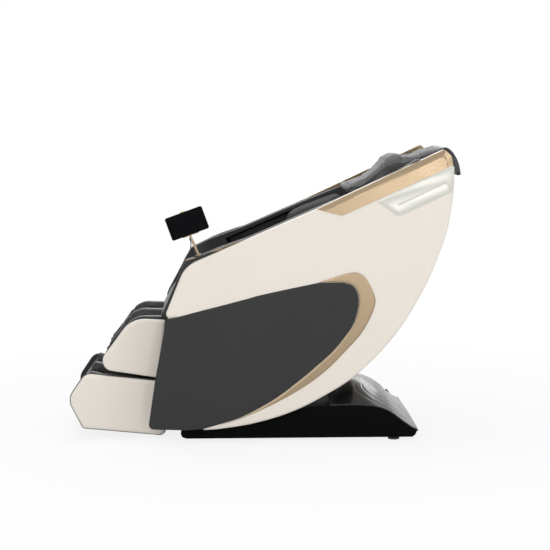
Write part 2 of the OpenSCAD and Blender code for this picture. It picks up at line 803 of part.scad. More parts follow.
module calf_frame() {
    color(steel) {
        difference() {
            union() {
                bar(hinge, cross_tube_r, -frame_in_y + play, frame_in_y - play);
                both_sides() {
                    bar(hinge, hinge_pin_r, frame_in_y - play - 1, arm_inner_y - 1);
                    slab([[-534, 520], [-510, 520], [-520, 440], [-546, 440]], 216, 230);
                }
                both_sides()
                    on_slide()
                        translate([0, slide_rod_y, guide_low])
                            cylinder(r = slide_tube_r, h = guide_len);
                on_slide()
                    translate([-12, -236, guide_low])
                        cube([8, 472, 222]);
            }
            both_sides()
                on_slide()
                    translate([0, slide_rod_y, guide_low - 1])
                        cylinder(r = slide_rod_r + pin_clear, h = guide_len + 80);
        }
        lever();
    }
}

// Slotted lever on the hinge tube, square to the rod's path in the middle of the swing
module lever() {
    difference() {
        for (y = [leg_act_y - actuator_rod_r - play - lever_t, leg_act_y + actuator_rod_r + play])
            translate([hinge[0], y, hinge[1]])
                rotate([0, -leg_swing / 2, 0])
                    translate([-13, 0, -slot_far - lever_t])
                        cube([26, lever_t, slot_far + lever_t]);
        translate([hinge[0], leg_act_y - 40, hinge[1]])
            rotate([0, -leg_swing / 2, 0])
                translate([-actuator_pin_r - lever_play, 0, -slot_far])
                    cube([2 * (actuator_pin_r + lever_play), 80, slot_far - slot_near]);
    }
}

calf_outline = rounded([[-576, 252, 4], [-840, 293, 42], [-686, 500, 110], [-548, 492, 6]]);
module calf_side(side) {
    color(cream)
        on_side(side)
            skin(dished(calf_outline, leg_cushion_half, leg_half_w, leg_side_t - 2));
}

// Share of the full wall height across the leg channels: 1 on a wall, 0 in a channel
function wall_share(y) =
    let(a = abs(y), edge = leg_cushion_half - leg_wall, soft = 12)
    a <= leg_mid_half - soft ? 1
        : a <= leg_mid_half ? 0.5 + 0.5 * cos(180 * (a - leg_mid_half + soft) / (2 * soft))
        : a <= leg_mid_half + soft ? 0.5 + 0.5 * cos(180 * (a - leg_mid_half + soft) / (2 * soft))
        : a <= edge - soft ? 0
        : a <= edge + soft ? 0.5 - 0.5 * cos(180 * (a - edge + soft) / (2 * soft))
        : 1;
function channel_stations() =
    let(edge = leg_cushion_half - leg_wall, half = [0, leg_mid_half - 12, leg_mid_half - 5, leg_mid_half + 5,
        leg_mid_half + 12, edge - 12, edge - 5, edge + 5, edge + 12, leg_cushion_half - 8, leg_cushion_half])
    concat([for (i = [len(half) - 1:-1:1]) -half[i]], half);
// Rings between the outline c of a channel and the outline w of a wall, pulled in a little at the sides
function leg_rings(w, c) =
    [for (y = channel_stations())
        let(f = wall_share(y) - (abs(y) > leg_cushion_half - 1 ? 0.05 : 0))
        [y, [for (i = [0:len(w) - 1]) c[i] + (w[i] - c[i]) * f]]];

calf_wall = rounded([[-575.5, 260, 4], [-850, 300, 42], [-690, 508, 104], [-538.5, 503, 4]]);
calf_channel = rounded([[-575.5, 260, 4], [-716, 290, 14], [-606, 452, 30], [-541.5, 478, 4]]);
module calf_cushion() {
    color(leather)
        skin(leg_rings(calf_wall, calf_channel));
}

foot_outline = rounded([[-552, 13, 22], [-890, 46, 10], [-950, 165, 60], [-878, 272, 45], [-570, 238, 4]]);
module foot_side(side) {
    color(cream)
        on_side(side)
            skin(dished(foot_outline, leg_cushion_half, leg_half_w, leg_side_t - 2));
}

foot_top_z = -182;
sole_at = [-740, 67];
sole_pin_r = 5;
module foot_frame() {
    color(steel) {
        both_sides()
            on_slide()
                translate([0, slide_rod_y, foot_top_z])
                    cylinder(r = slide_rod_r, h = slide_rod_len);
        slab([[-576, 230], [-548, 225], [-558, 24], [-884, 56], [-894, 70], [-896, 100], [-888, 100],
            [-882, 63], [-566, 32]], -leg_cushion_half, leg_cushion_half);
        both_sides()
            bar(sole_at, sole_pin_r, 190, leg_cushion_half);
        both_sides()
            slab([[-752, 42], [-728, 42], [-728, 76], [-752, 76]], 196, 204);
    }
}

module foot_cushion() {
    wall = rounded([[-572, 88, 6], [-898, 104, 6], [-950, 166, 56], [-868, 290, 26], [-800, 275, 22],
        [-720, 264, 18], [-612, 250, 14], [-578, 244, 4]]);
    channel = rounded([[-572, 88, 6], [-898, 104, 6], [-946, 166, 56], [-876, 264, 10], [-842, 126, 20],
        [-634, 112, 16], [-612, 228, 14], [-578, 236, 4]]);
    color(leather)
        skin(leg_rings(wall, channel));
}

module sole_roller() {
    color(black)
        difference() {
            union() {
                bar(sole_at, 10, -194, 194);
                for (y = [-150, -110, -70, 70, 110, 150])
                    bar(sole_at, sole_roller_r, y - 12, y + 12);
            }
            bar(sole_at, sole_pin_r + pin_clear, -200, 200);
        }
}

// ---- massage carriage ----
carriage_at = 100;
carriage_len = 150;
knead_behind = back_pad_t + roller_r + 8;

module carriage_frame() {
    color(steel)
        on_back()
            difference() {
                union() {
                    both_sides()
                        translate([carriage_at - carriage_len / 2, rail_y, -rod_behind])
                            rotate([0, 90, 0])
                                cylinder(r = rail_r + 8, h = carriage_len);
                    translate([carriage_at - carriage_len / 2, -rail_y, -rod_behind - 36])
                        cube([carriage_len, 2 * rail_y, 8]);
                    both_sides()
                        translate([carriage_at - carriage_len / 2, rail_y - 8, -rod_behind - 36])
                            cube([carriage_len, 8, 36]);
                    both_sides()
                        translate([carriage_at - 20, 104, -rod_behind - 30])
                            cube([40, 10, 30 + rod_behind - knead_behind + 14]);
                    translate([carriage_at, 0, -knead_behind])
                        rotate([90, 0, 0])
                            cylinder(r = 8, h = 220, center = true);
                    translate([carriage_at - 40, -28, -rod_behind - 30])
                        cube([80, 56, 20]);
                }
                both_sides()
                    translate([carriage_at - carriage_len, rail_y, -rod_behind])
                        rotate([0, 90, 0])
                            cylinder(r = rail_r + pin_clear, h = 2 * carriage_len);
            }
}

module massage_arm(side) {
    tip = roller_gap / 2 + 9;
    plate = [[-tip, -8], [-14, -16], [14, -16], [tip, -8], [tip, 8], [14, 16], [-14, 16], [-tip, 8]];
    color(silver)
        on_side(side)
            on_back()
                translate([carriage_at, 0, -knead_behind])
                    difference() {
                        union() {
                            slab(plate, roller_y - roller_w / 2 - 14, roller_y - roller_w / 2 - 4);
                            bar([0, 0], 16, roller_y - roller_w / 2 - 18, roller_y - roller_w / 2 - 4);
                            for (x = [-1, 1])
                                bar([x * roller_gap / 2, 0], 6, roller_y - roller_w / 2 - 8,
                                    roller_y + roller_w / 2 + 2);
                        }
                        bar([0, 0], 8 + pin_clear, 0, 100);
                    }
}

module massage_roller(side, end) {
    color(black)
        on_side(side)
            on_back()
                translate([carriage_at + end * roller_gap / 2, 0, -knead_behind])
                    difference() {
                        union() {
                            bar([0, 0], roller_r - 4, roller_y - roller_w / 2, roller_y + roller_w / 2);
                            bar([0, 0], roller_r, roller_y - roller_w / 2 + 5, roller_y + roller_w / 2 - 5);
                        }
                        bar([0, 0], 6 + pin_clear, 0, 120);
                    }
}

// ---- tablet ----
post_foot = arm_line_start - 40 * [cos(arm_slope), sin(arm_slope)];
post_y = -304;
ball_r = 7;
ball_fit = 0.15;
post_neck_r = 4;
post_flange_h = 6;
plate_gap = 28;
tablet_y = post_y - plate_gap - 6;
tablet_mid = [-457, 894];

// Frame of the post: +Z up along it from the middle of its flange's underside
module on_post() {
    translate([post_foot[0], post_y, post_foot[1]])
        rotate([0, -arm_slope, 0])
            children();
}

module tablet_post() {
    color(gold)
        on_post() {
            cylinder(r = post_flange_r, h = post_flange_h);
            cylinder(r1 = post_r, r2 = post_neck_r, h = post_len);
            translate([0, 0, post_len])
                sphere(r = ball_r);
        }
}

// The tablet's lead leaves the post's neck and loops down to the flange
lead_path = smooth([[-6.8, 0, 82], [-7.2, 0, 69], [-10.5, 0, 56], [-18, 0, 44], [-24, 0, 31], [-25.5, 0, 18],
    [-22, 0, 8], [-16.5, 0, 3.6], [-post_flange_r - 0.1, 0, 3.2]], 3);
module tablet_lead() {
    color(black)
        on_post()
            sweep(lead_path, lead_r);
}

// Frame of the tablet: +X along its long side, +Z up its short side, at the middle of its back
module on_tablet() {
    translate([tablet_mid[0], tablet_y, tablet_mid[1]])
        rotate([0, -tablet_roll, 0])
            children();
}

module tablet_clamp() {
    color(gold) {
        on_post()
            translate([0, 0, post_len])
                difference() {
                    union() {
                        translate([0, 0, -3])
                            cylinder(r = ball_r + 5, h = 14);
                        translate([-9, -plate_gap - 1, -3])
                            cube([18, plate_gap - 7, 14]);
                    }
                    sphere(r = ball_r + ball_fit);
                }
        on_tablet() {
            translate([-22, 0, -tablet_h / 2 - 3])
                cube([38, 6, tablet_h - 14]);
            for (x = [-34, 14])
                translate([x, -tablet_t - 3, -tablet_h / 2 - 3])
                    cube([20, tablet_t + 9, 3]);
            translate([-34, 0, -tablet_h / 2 - 3])
                cube([68, 6, 10]);
        }
    }
}

module clamp_jaw() {
    color(gold)
        on_tablet() {
            translate([-12, 6.3, tablet_h / 2 - 34])
                cube([24, 4, 37]);
            translate([-12, -tablet_t - 3, tablet_h / 2 + 0.2])
                cube([24, tablet_t + 3 + 10, 3]);
        }
}

module tablet() {
    color(black)
        on_tablet()
            translate([-tablet_w / 2, 0, -tablet_h / 2])
                rotate([90, 0, 0])
                    linear_extrude(tablet_t)
                        offset(r = 8)
                            translate([8, 8])
                                square([tablet_w - 16, tablet_h - 16]);
}

base_frame();
base_tray();
base_dome();
base_feet();
pivot_shaft();
control_box();
air_pump();
mains_inlet();
power_switch();
transport_wheel(LEFT);  // transport_wheel_left
transport_wheel(RIGHT);  // transport_wheel_right
tilt_tube();
tilt_rod();
body_frame();
side_panel(LEFT);  // side_panel_left
side_panel(RIGHT);  // side_panel_right
insert_panel(LEFT);  // insert_panel_left
insert_panel(RIGHT);  // insert_panel_right
crescent_trim(LEFT);  // crescent_trim_left
crescent_trim(RIGHT);  // crescent_trim_right
top_rail(LEFT);  // top_rail_left
top_rail(RIGHT);  // top_rail_right
speaker_panel(LEFT);  // speaker_panel_left
speaker_panel(RIGHT);  // speaker_panel_right
inner_shell(LEFT);  // inner_shell_left
inner_shell(RIGHT);  // inner_shell_right
arm_pad(LEFT);  // arm_pad_left
arm_pad(RIGHT);  // arm_pad_right
arm_vent(LEFT);  // arm_vent_left
arm_vent(RIGHT);  // arm_vent_right
rear_shell();
seat_cushion();
back_pad();
shoulder_wing(LEFT);  // shoulder_wing_left
shoulder_wing(RIGHT);  // shoulder_wing_right
head_pillow();
guide_rods();
leg_tube();
leg_rod();
calf_frame();
calf_side(LEFT);  // calf_side_left
calf_side(RIGHT);  // calf_side_right
calf_cushion();
foot_frame();
foot_side(LEFT);  // foot_side_left
foot_side(RIGHT);  // foot_side_right
foot_cushion();
sole_roller();
carriage_frame();
massage_arm(LEFT);  // massage_arm_left
massage_arm(RIGHT);  // massage_arm_right
massage_roller(LEFT, 1);  // roller_upper_left
massage_roller(LEFT, -1);  // roller_lower_left
massage_roller(RIGHT, 1);  // roller_upper_right
massage_roller(RIGHT, -1);  // roller_lower_right
tablet_post();
tablet_lead();
tablet_clamp();
clamp_jaw();
tablet();
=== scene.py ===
"""Capsule massage chair: its studio, its finishes and the surfaces that dress its frame.

Lengths in the classes are millimetres, and a mesh goes into Blender in metres. +Z is up,
-X is the front, where the feet are, and -Y is the sitter's left.
"""

import json
import logging
import math
from dataclasses import dataclass, field
from enum import Enum
from typing import Callable, Optional, Sequence, Union

import bmesh
import bpy
import numpy as np
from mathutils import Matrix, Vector


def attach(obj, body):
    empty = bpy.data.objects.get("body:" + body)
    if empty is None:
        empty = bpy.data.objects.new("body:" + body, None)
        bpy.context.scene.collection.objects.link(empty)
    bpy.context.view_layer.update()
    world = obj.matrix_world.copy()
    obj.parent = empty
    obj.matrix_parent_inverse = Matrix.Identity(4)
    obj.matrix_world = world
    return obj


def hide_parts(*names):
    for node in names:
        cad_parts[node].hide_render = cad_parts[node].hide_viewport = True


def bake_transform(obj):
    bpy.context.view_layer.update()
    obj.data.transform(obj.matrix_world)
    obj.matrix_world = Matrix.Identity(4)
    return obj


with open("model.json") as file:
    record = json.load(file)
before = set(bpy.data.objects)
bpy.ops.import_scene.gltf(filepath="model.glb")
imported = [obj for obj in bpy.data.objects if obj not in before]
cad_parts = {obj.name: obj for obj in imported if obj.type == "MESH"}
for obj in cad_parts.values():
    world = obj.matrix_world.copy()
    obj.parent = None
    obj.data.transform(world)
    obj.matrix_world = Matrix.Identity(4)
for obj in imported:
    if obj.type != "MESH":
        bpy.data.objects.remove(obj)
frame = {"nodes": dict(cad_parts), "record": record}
LOG = logging.getLogger("massage_chair")
MM = 0.001


class Side(Enum):
    """The two sides of the chair, with the sign of their y."""

    LEFT = -1
    RIGHT = 1

    @property
    def tag(self) -> str:
        """Name of the side as the nodes spell it."""
        return self.name.lower()


# ---- curves in x and z ----


def unit(v: np.ndarray) -> np.ndarray:
    """The vector v divided by its length."""
    return v / np.linalg.norm(v)


def corner_arc(a: Sequence[float], b: Sequence[float], c: Sequence[float], radius: float,
               steps: int = 16) -> np.ndarray:
    """Arc that rounds the corner b between a and c.

    The centre lies on the bisector at radius / sin(half the angle), and the arc runs
    between the two feet of the perpendiculars from it.

    Args:
        a: Point before the corner.
        b: The corner.
        c: Point after the corner.
        radius: Radius of the round.
        steps: Number of steps along the arc.

    Returns:
        The points of the arc, from the side of a to the side of c.
    """
    a, b, c = (np.asarray(p, float) for p in (a, b, c))
    u, w = unit(a - b), unit(c - b)
    half = math.acos(float(np.clip(u @ w, -1, 1))) / 2
    centre = b + unit(u + w) * radius / math.sin(half)
    first = b + u * radius / math.tan(half) - centre
    last = b + w * radius / math.tan(half) - centre
    begin = math.atan2(first[1], first[0])
    sweep = (math.atan2(last[1], last[0]) - begin + math.pi) % (2 * math.pi) - math.pi
    turn = begin + sweep * np.linspace(0, 1, steps + 1)
    return centre + radius * np.stack([np.cos(turn), np.sin(turn)], 1)


def rounded(corners: Sequence[Sequence[float]], steps: int = 12) -> np.ndarray:
    """Closed outline from corners (x, z, radius).

    Args:
        corners: The corners in order round the outline.
        steps: Number of steps along each round.

    Returns:
        The points of the outline.
    """
    n = len(corners)
    return np.concatenate([
        corner_arc(corners[i - 1][:2], corners[i][:2], corners[(i + 1) % n][:2], corners[i][2], steps)
        for i in range(n)
    ])


def smooth(points: Sequence[Sequence[float]], steps: int = 12) -> np.ndarray:
    """Catmull-Rom curve through points: each stretch is the cubic whose end slopes are half
    the differences of the neighbours.

    Args:
        points: The points that the curve passes.
        steps: Number of steps between two neighbours.

    Returns:
        The points of the curve.
    """
    p = np.asarray(points, float)
    padded = np.concatenate([p[:1], p, p[-1:]])
    t = np.arange(steps)[None, :, None] / steps
    a, b, c, d = (padded[i:len(p) - 1 + i, None, :] for i in range(4))
    curve = 0.5 * (2 * b + (c - a) * t + (2 * a - 5 * b + 4 * c - d) * t**2 + (3 * b - a - 3 * c + d) * t**3)
    return np.concatenate([curve.reshape(-1, p.shape[1]), p[-1:]])


def resample(curve: np.ndarray, count: int) -> np.ndarray:
    """The curve again, as count points at equal distances along it.

    Args:
        curve: Points of an open curve.
        count: Number of points wanted.

    Returns:
        The new points, with the same ends.
    """
    steps = np.linalg.norm(np.diff(curve, axis=0), axis=1)
    along = np.concatenate([[0], np.cumsum(steps)])
    where = np.linspace(0, along[-1], count)
    return np.stack([np.interp(where, along, curve[:, k]) for k in range(curve.shape[1])], 1)


def beside(curve: np.ndarray, distance: float) -> np.ndarray:
    """The open curve moved to its right by a distance along its normals."""
    ends = np.concatenate([curve[:1], curve, curve[-1:]])
    run = ends[2:] - ends[:-2]
    run /= np.linalg.norm(run, axis=1, keepdims=True)
    return curve + distance * np.stack([run[:, 1], -run[:, 0]], 1)


def distance_to(points: np.ndarray, curve: np.ndarray) -> np.ndarray:
    """Distance of each point from a polyline: the least distance to the foot of the
    perpendicular on each of its stretches, kept between the stretch's ends.

    Args:
        points: Array whose last axis holds x and z.
        curve: Points of the polyline.

    Returns:
        Array of distances with the shape of points without its last axis.
    """
    a, run = curve[:-1], np.diff(curve, axis=0)
    size = np.maximum((run**2).sum(1), 1e-9)
    best = np.full(points.shape[:-1], np.inf)
    for start, step, square in zip(a, run, size):
        rel = points - start
        t = np.clip((rel @ step) / square, 0, 1)
        best = np.minimum(best, np.linalg.norm(rel - t[..., None] * step, axis=-1))
    return best


def normals_of(lines: np.ndarray) -> np.ndarray:
    """Unit normals to the right of lines in x and z that run along the first axis."""
    run = np.gradient(lines, axis=0)
    run /= np.maximum(np.linalg.norm(run, axis=-1, keepdims=True), 1e-6)
    return np.stack([run[..., 1], -run[..., 0]], -1)


def furrow(distance: np.ndarray, width: float, depth: float) -> np.ndarray:
    """A channel: the surface sinks by depth at distance 0, as a bell of a width."""
    return -depth * np.exp(-((distance / width) ** 2))


def profile(x: np.ndarray, points: Sequence[Sequence[float]]) -> np.ndarray:
    """Value at x of the straight lines through points (x, value)."""
    places, values = zip(*points)
    return np.interp(x, places, values)


def facing(along: np.ndarray, gain: float = 2.0) -> np.ndarray:
    """0 to 1: how far a surface looks along a direction, from its normal's share of it."""
    return np.clip(along * gain, 0, 1)


# ---- shader graphs ----

Number = Union[float, "Value"]


class Value:
    """An output of a node. Arithmetic on it adds Math nodes to its graph."""

    def __init__(self, graph: "Graph", socket: bpy.types.NodeSocket) -> None:
        """Wraps a socket of a graph."""
        self.graph = graph
        self.socket = socket

    def _math(self, operation: str, *terms: Number) -> "Value":
        """Adds one Math node on the terms."""
        return self.graph.add("ShaderNodeMath", {"operation": operation}, dict(enumerate(terms)))

    def __add__(self, other: Number) -> "Value":
        """self + other."""
        return self._math("ADD", self, other)

    def __sub__(self, other: Number) -> "Value":
        """self - other."""
        return self._math("SUBTRACT", self, other)

    def __mul__(self, other: Number) -> "Value":
        """self times other."""
        return self._math("MULTIPLY", self, other)

    def absolute(self) -> "Value":
        """The value without its sign."""
        return self._math("ABSOLUTE", self)

    def clamped(self, low: float = 0.0, high: float = 1.0) -> "Value":
        """The value kept between low and high."""
        return self._math("MINIMUM", self._math("MAXIMUM", self, low), high)

    def smooth_step(self, low: float, high: float) -> "Value":
        """0 below low, 1 above high and a smooth rise between them."""
        return self.graph.add(
            "ShaderNodeMapRange", {"interpolation_type": "SMOOTHSTEP"},
            {0: self, 1: low, 2: high, 3: 0.0, 4: 1.0},
        )


class Graph:
    """The node tree of one material."""

    def __init__(self, name: str) -> None:
        """Starts an empty material with a Principled BSDF."""
        self.material = bpy.data.materials.new(name)
        self.material.use_nodes = True
        self.tree = self.material.node_tree
        self.shader = self.tree.nodes["Principled BSDF"]
        self.output = self.tree.nodes["Material Output"]

    def add(self, kind: str, settings: Optional[dict] = None, inputs: Optional[dict] = None,
            output: Union[int, str] = 0) -> Value:
        """Adds a node.

        Args:
            kind: The node's type.
            settings: Its properties by name.
            inputs: Its inputs by name or number: numbers, tuples or values.
            output: The output to return.

        Returns:
            The chosen output.
        """
        node = self.tree.nodes.new(kind)
        for key, value in (settings or {}).items():
            setattr(node, key, value)
        for key, value in (inputs or {}).items():
            self.plug(node.inputs[key], value)
        return Value(self, node.outputs[output])

    def plug(self, socket: bpy.types.NodeSocket, value: Union[Number, tuple, Value]) -> None:
        """Links a value to a socket, or sets the socket to a number or a tuple."""
        if isinstance(value, Value):
            self.tree.links.new(value.socket, socket)
        else:
            socket.default_value = value

    def coordinates(self, stretch: Sequence[float] = (1, 1, 1), turn: Sequence[float] = (0, 0, 0)) -> Value:
        """Object coordinates, turned and stretched by a Mapping node."""
        place = self.add("ShaderNodeTexCoord", output="Object")
        inputs = {"Vector": place, "Scale": tuple(stretch), "Rotation": tuple(turn)}
        return self.add("ShaderNodeMapping", {}, inputs)

    def noise(self, place: Value, scale: float, detail: float = 3.0, rough: float = 0.5) -> Value:
        """Noise of a size, from 0 to 1."""
        inputs = {"Vector": place, "Scale": scale, "Detail": detail, "Roughness": rough}
        return self.add("ShaderNodeTexNoise", {}, inputs)

    def mix(self, share: Number, first: Union[tuple, Value], second: Union[tuple, Value]) -> Value:
        """Mix of two colours."""
        ends = [end if isinstance(end, Value) else (*end, 1.0) for end in (first, second)]
        return self.add("ShaderNodeMix", {"data_type": "RGBA"}, {0: share, 6: ends[0], 7: ends[1]}, 2)

    def bump(self, height: Value, strength: float, distance: float, normal: Optional[Value] = None) -> Value:
        """Bump from a height, on top of another normal where one is given."""
        inputs = {"Height": height, "Strength": strength, "Distance": distance}
        if normal is not None:
            inputs["Normal"] = normal
        return self.add("ShaderNodeBump", {}, inputs)

    def dress(self, **inputs: Union[Number, tuple]) -> bpy.types.Material:
        """Sets the shader's inputs, named with underscores, and returns the material."""
        for key, value in inputs.items():
            self.plug(self.shader.inputs[key.replace("_", " ").title().replace("Ior", "IOR")], value)
        return self.material


Colour = tuple[float, float, float]


@dataclass(frozen=True)
class Moulding:
    """Painted or moulded plastic: two near colours in slow clouds, fine texture and coat."""

    name: str
    colour: Colour
    cloud: Colour
    roughness: float
    coat: float = 0.0
    grain: float = 900.0
    grain_depth: float = 0.05
    waviness: float = 0.0
    metallic: float = 0.0
    specular: float = 0.5

    def material(self) -> bpy.types.Material:
        """Clouds vary the colour, fine noise the roughness and the bump; long soft waves bend
        the highlights as on a moulded panel."""
        g = Graph(self.name)
        place = g.coordinates()
        clouds = g.noise(place, 5.0)
        specks = g.noise(place, self.grain, 2.0)
        normal = g.bump(specks, self.grain_depth, 0.0004)
        if self.waviness:
            normal = g.bump(g.noise(place, 3.2, 1.0), self.waviness, 0.004, normal)
        return g.dress(
            base_color=g.mix(clouds, self.colour, self.cloud),
            roughness=(specks * 0.08 + clouds * 0.06 + (self.roughness - 0.07)).clamped(),
            normal=normal, metallic=self.metallic, coat_weight=self.coat, coat_roughness=0.08,
            specular_ior_level=self.specular,
        )


@dataclass(frozen=True)
class Metallic:
    """Metal or metal-effect lacquer with a fine brushed direction."""

    name: str
    colour: Colour
    shade: Colour
    roughness: float
    metallic: float = 1.0
    turn: float = 0.0
    brush: float = 0.02

    def material(self) -> bpy.types.Material:
        """Noise stretched along the brushing varies the colour and the roughness."""
        g = Graph(self.name)
        place = g.coordinates((6, 60, 260), (0, self.turn, 0))
        hairs = g.noise(place, 6.0, 4.0, 0.6)
        clouds = g.noise(g.coordinates(), 7.0, 2.0)
        return g.dress(
            base_color=g.mix((hairs * 0.5 + clouds * 0.5).clamped(), self.colour, self.shade),
            roughness=(hairs * 0.12 + clouds * 0.08 + (self.roughness - 0.1)).clamped(),
            normal=g.bump(hairs, self.brush, 0.0003), metallic=self.metallic,
        )


@dataclass(frozen=True)
class Leather:
    """Synthetic leather: pebbled grain, soft creases and a wiped shine."""

    name: str
    colour: Colour
    worn: Colour
    roughness: float
    grain: float = 420.0
    depth: float = 0.35
    crease: float = 0.25
    sheen: float = 0.0
    specular: float = 0.5

    def material(self) -> bpy.types.Material:
        """The distance to the edges of small cells is the grain, warped by noise; a slower
        noise folded at its middle makes the creases."""
        g = Graph(self.name)
        place = g.coordinates()
        warp = g.noise(place, 60.0, 2.0)
        inputs = {"Vector": place, "Scale": self.grain}
        cells = g.add("ShaderNodeTexVoronoi", {"feature": "DISTANCE_TO_EDGE"}, inputs)
        pebbles = (cells * 6.0 + warp * 0.3).clamped()
        fold = g.noise(g.coordinates((1, 0.6, 1.4)), 17.0, 3.0, 0.55)
        creases = (fold - 0.5).absolute().smooth_step(0.0, 0.09)
        clouds = g.noise(place, 6.0, 2.0)
        normal = g.bump(pebbles, self.depth, 0.0005)
        normal = g.bump(creases, self.crease, 0.0012, normal)
        return g.dress(
            base_color=g.mix((clouds * 0.6 + creases * 0.4).clamped(), self.worn, self.colour),
            roughness=(clouds * 0.16 - pebbles * 0.06 + self.roughness).clamped(),
            normal=normal, sheen_weight=self.sheen, coat_weight=0.0, specular_ior_level=self.specular,
        )


@dataclass(frozen=True)
class Screen:
    """The dark glass of the switched-off tablet."""

    name: str = "tablet_screen"

    def material(self) -> bpy.types.Material:
        """Nearly black glass with a faint wiped haze in its roughness."""
        g = Graph(self.name)
        haze = g.noise(g.coordinates(), 40.0, 4.0)
        return g.dress(
            base_color=g.mix(haze, (0.003, 0.003, 0.004), (0.006, 0.006, 0.007)),
            roughness=(haze * 0.10 + 0.16).clamped(), specular_ior_level=0.02,
        )


BRUSHED = math.radians(25)


class Finish(Enum):
    """The finishes of the chair, by the record's material slots."""

    CREAM = ("cream_shell", Moulding(
        "cream_shell", (0.82, 0.765, 0.69), (0.79, 0.735, 0.66), 0.45, grain=1100, grain_depth=0.03,
        waviness=0.05, specular=0.25))
    DARK = ("dark_shell", Moulding(
        "dark_shell", (0.036, 0.036, 0.037), (0.041, 0.041, 0.042), 0.55, grain=700, grain_depth=0.12,
        specular=0.12))
    GOLD = ("gold_trim", Metallic(
        "gold_trim", (0.355, 0.268, 0.175), (0.31, 0.232, 0.146), 0.30, 0.85, BRUSHED))
    SILVER = ("silver_panel", Metallic(
        "silver_panel", (0.63, 0.628, 0.58), (0.57, 0.57, 0.525), 0.36, 0.55, BRUSHED))
    LEATHER = ("black_leather", Leather(
        "black_leather", (0.011, 0.011, 0.012), (0.019, 0.019, 0.020), 0.33, specular=0.35))
    PILLOW = ("grey_leather", Leather(
        "grey_leather", (0.048, 0.048, 0.049), (0.070, 0.070, 0.071), 0.50, grain=380, depth=0.3,
        crease=0.45, sheen=0.15, specular=0.3))
    FRAME = ("frame_steel", Moulding(
        "frame_steel", (0.030, 0.030, 0.033), (0.038, 0.038, 0.041), 0.45, grain=500, grain_depth=0.2))
    STEEL = ("bright_steel", Metallic("bright_steel", (0.62, 0.62, 0.62), (0.50, 0.50, 0.51), 0.30))
    BASE = ("base_plastic", Moulding(
        "base_plastic", (0.003, 0.003, 0.003), (0.004, 0.004, 0.004), 0.55, grain=620, grain_depth=0.18,
        specular=0.02))
    DOME = ("dome_plastic", Moulding(
        "dome_plastic", (0.011, 0.0105, 0.0105), (0.016, 0.0155, 0.015), 0.26, coat=0.25, waviness=0.12,
        specular=0.3))
    RUBBER = ("black_rubber", Moulding(
        "black_rubber", (0.012, 0.012, 0.012), (0.018, 0.018, 0.018), 0.75, grain=400, grain_depth=0.25))
    ROLLER = ("roller_plastic", Moulding(
        "roller_plastic", (0.28, 0.17, 0.11), (0.33, 0.21, 0.14), 0.34, coat=0.3, grain=500,
        grain_depth=0.08))
    SCREEN = ("tablet_glass", Screen())

    @property
    def slot(self) -> str:
        """The record's material slot."""
        return self.value[0]

    def material(self) -> bpy.types.Material:
        """The finish's material, made once and then marked."""
        known = bpy.data.materials.get(self.value[1].name)
        if known is not None and known.get("dressed"):
            return known
        made = self.value[1].material()
        made["dressed"] = True
        return made


# ---- meshes ----


def linked(name: str, data: bpy.types.ID) -> bpy.types.Object:
    """A new object with the given data, linked to the scene."""
    obj = bpy.data.objects.new(name, data)
    bpy.context.scene.collection.objects.link(obj)
    return obj


def read_points(mesh: bpy.types.Mesh) -> np.ndarray:
    """The mesh's points, (n, 3)."""
    points = np.zeros(len(mesh.vertices) * 3)
    mesh.vertices.foreach_get("co", points)
    return points.reshape(-1, 3)


def write_points(mesh: bpy.types.Mesh, points: np.ndarray) -> None:
    """Puts the mesh's points in new places."""
    mesh.vertices.foreach_set("co", points.ravel())
    mesh.update()


def node_mesh(node: str, joined: bool = False) -> bpy.types.Mesh:
    """A copy of a node's mesh with its double points welded and, if asked, its flat faces joined."""
    mesh = frame["nodes"][node].data.copy()
    work = bmesh.new()
    work.from_mesh(mesh)
    bmesh.ops.remove_doubles(work, verts=work.verts, dist=0.00002)
    if joined:
        bmesh.ops.dissolve_limit(work, angle_limit=math.radians(1.0), verts=work.verts, edges=work.edges)
    work.to_mesh(mesh)
    work.free()
    return mesh


def piece(name: str, grid: np.ndarray, finish: Finish, body: Optional[str], stands_for: Sequence[str] = (),
          sharp: float = 38.0) -> bpy.types.Object:
    """Puts a surface into the scene as a piece of the chair.

    Args:
        name: Name of the piece.
        grid: Its points in millimetres, columns by rows by 3; the rows close into loops.
        finish: Its finish.
        body: The body that it rides on, or None.
        stands_for: The nodes that it replaces.
        sharp: Angle in degrees from which an edge stays sharp.

    Returns:
        The new object.
    """
    mesh = bpy.data.meshes.new(name)
    mesh.from_pydata((grid.reshape(-1, 3) * MM).tolist(), [], grid_faces(*grid.shape[:2]).tolist())
    return adopt(name, mesh, finish, body, stands_for, sharp)


def adopt(name: str, mesh: bpy.types.Mesh, finish: Finish, body: Optional[str],
          stands_for: Sequence[str] = (), sharp: float = 38.0, merge: float = 0.02) -> bpy.types.Object:
    """Cleans a mesh, shades it smooth between its sharp edges and links it as a piece.

    Args:
        name: Name of the piece.
        mesh: The mesh, in metres.
        finish: Its finish.
        body: The body that it rides on, or None.
        stands_for: The nodes that it replaces.
        sharp: Angle in degrees from which an edge stays sharp.
        merge: Distance in millimetres below which points are one.

    Returns:
        The new object.
    """
    work = bmesh.new()
    work.from_mesh(mesh)
    bmesh.ops.remove_doubles(work, verts=work.verts, dist=merge * MM)
    bmesh.ops.dissolve_degenerate(work, edges=work.edges, dist=merge * MM)
    bmesh.ops.recalc_face_normals(work, faces=work.faces)
    work.to_mesh(mesh)
    work.free()
    mesh.shade_smooth()
    mesh.set_sharp_from_angle(angle=math.radians(sharp))
    mesh.materials.clear()
    mesh.materials.append(finish.material())
    obj = linked(name, mesh)
    if body is not None:
        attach(obj, body)
    if stands_for:
        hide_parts(*stands_for)
    LOG.info("%s: %d faces", name, len(mesh.polygons))
    return obj


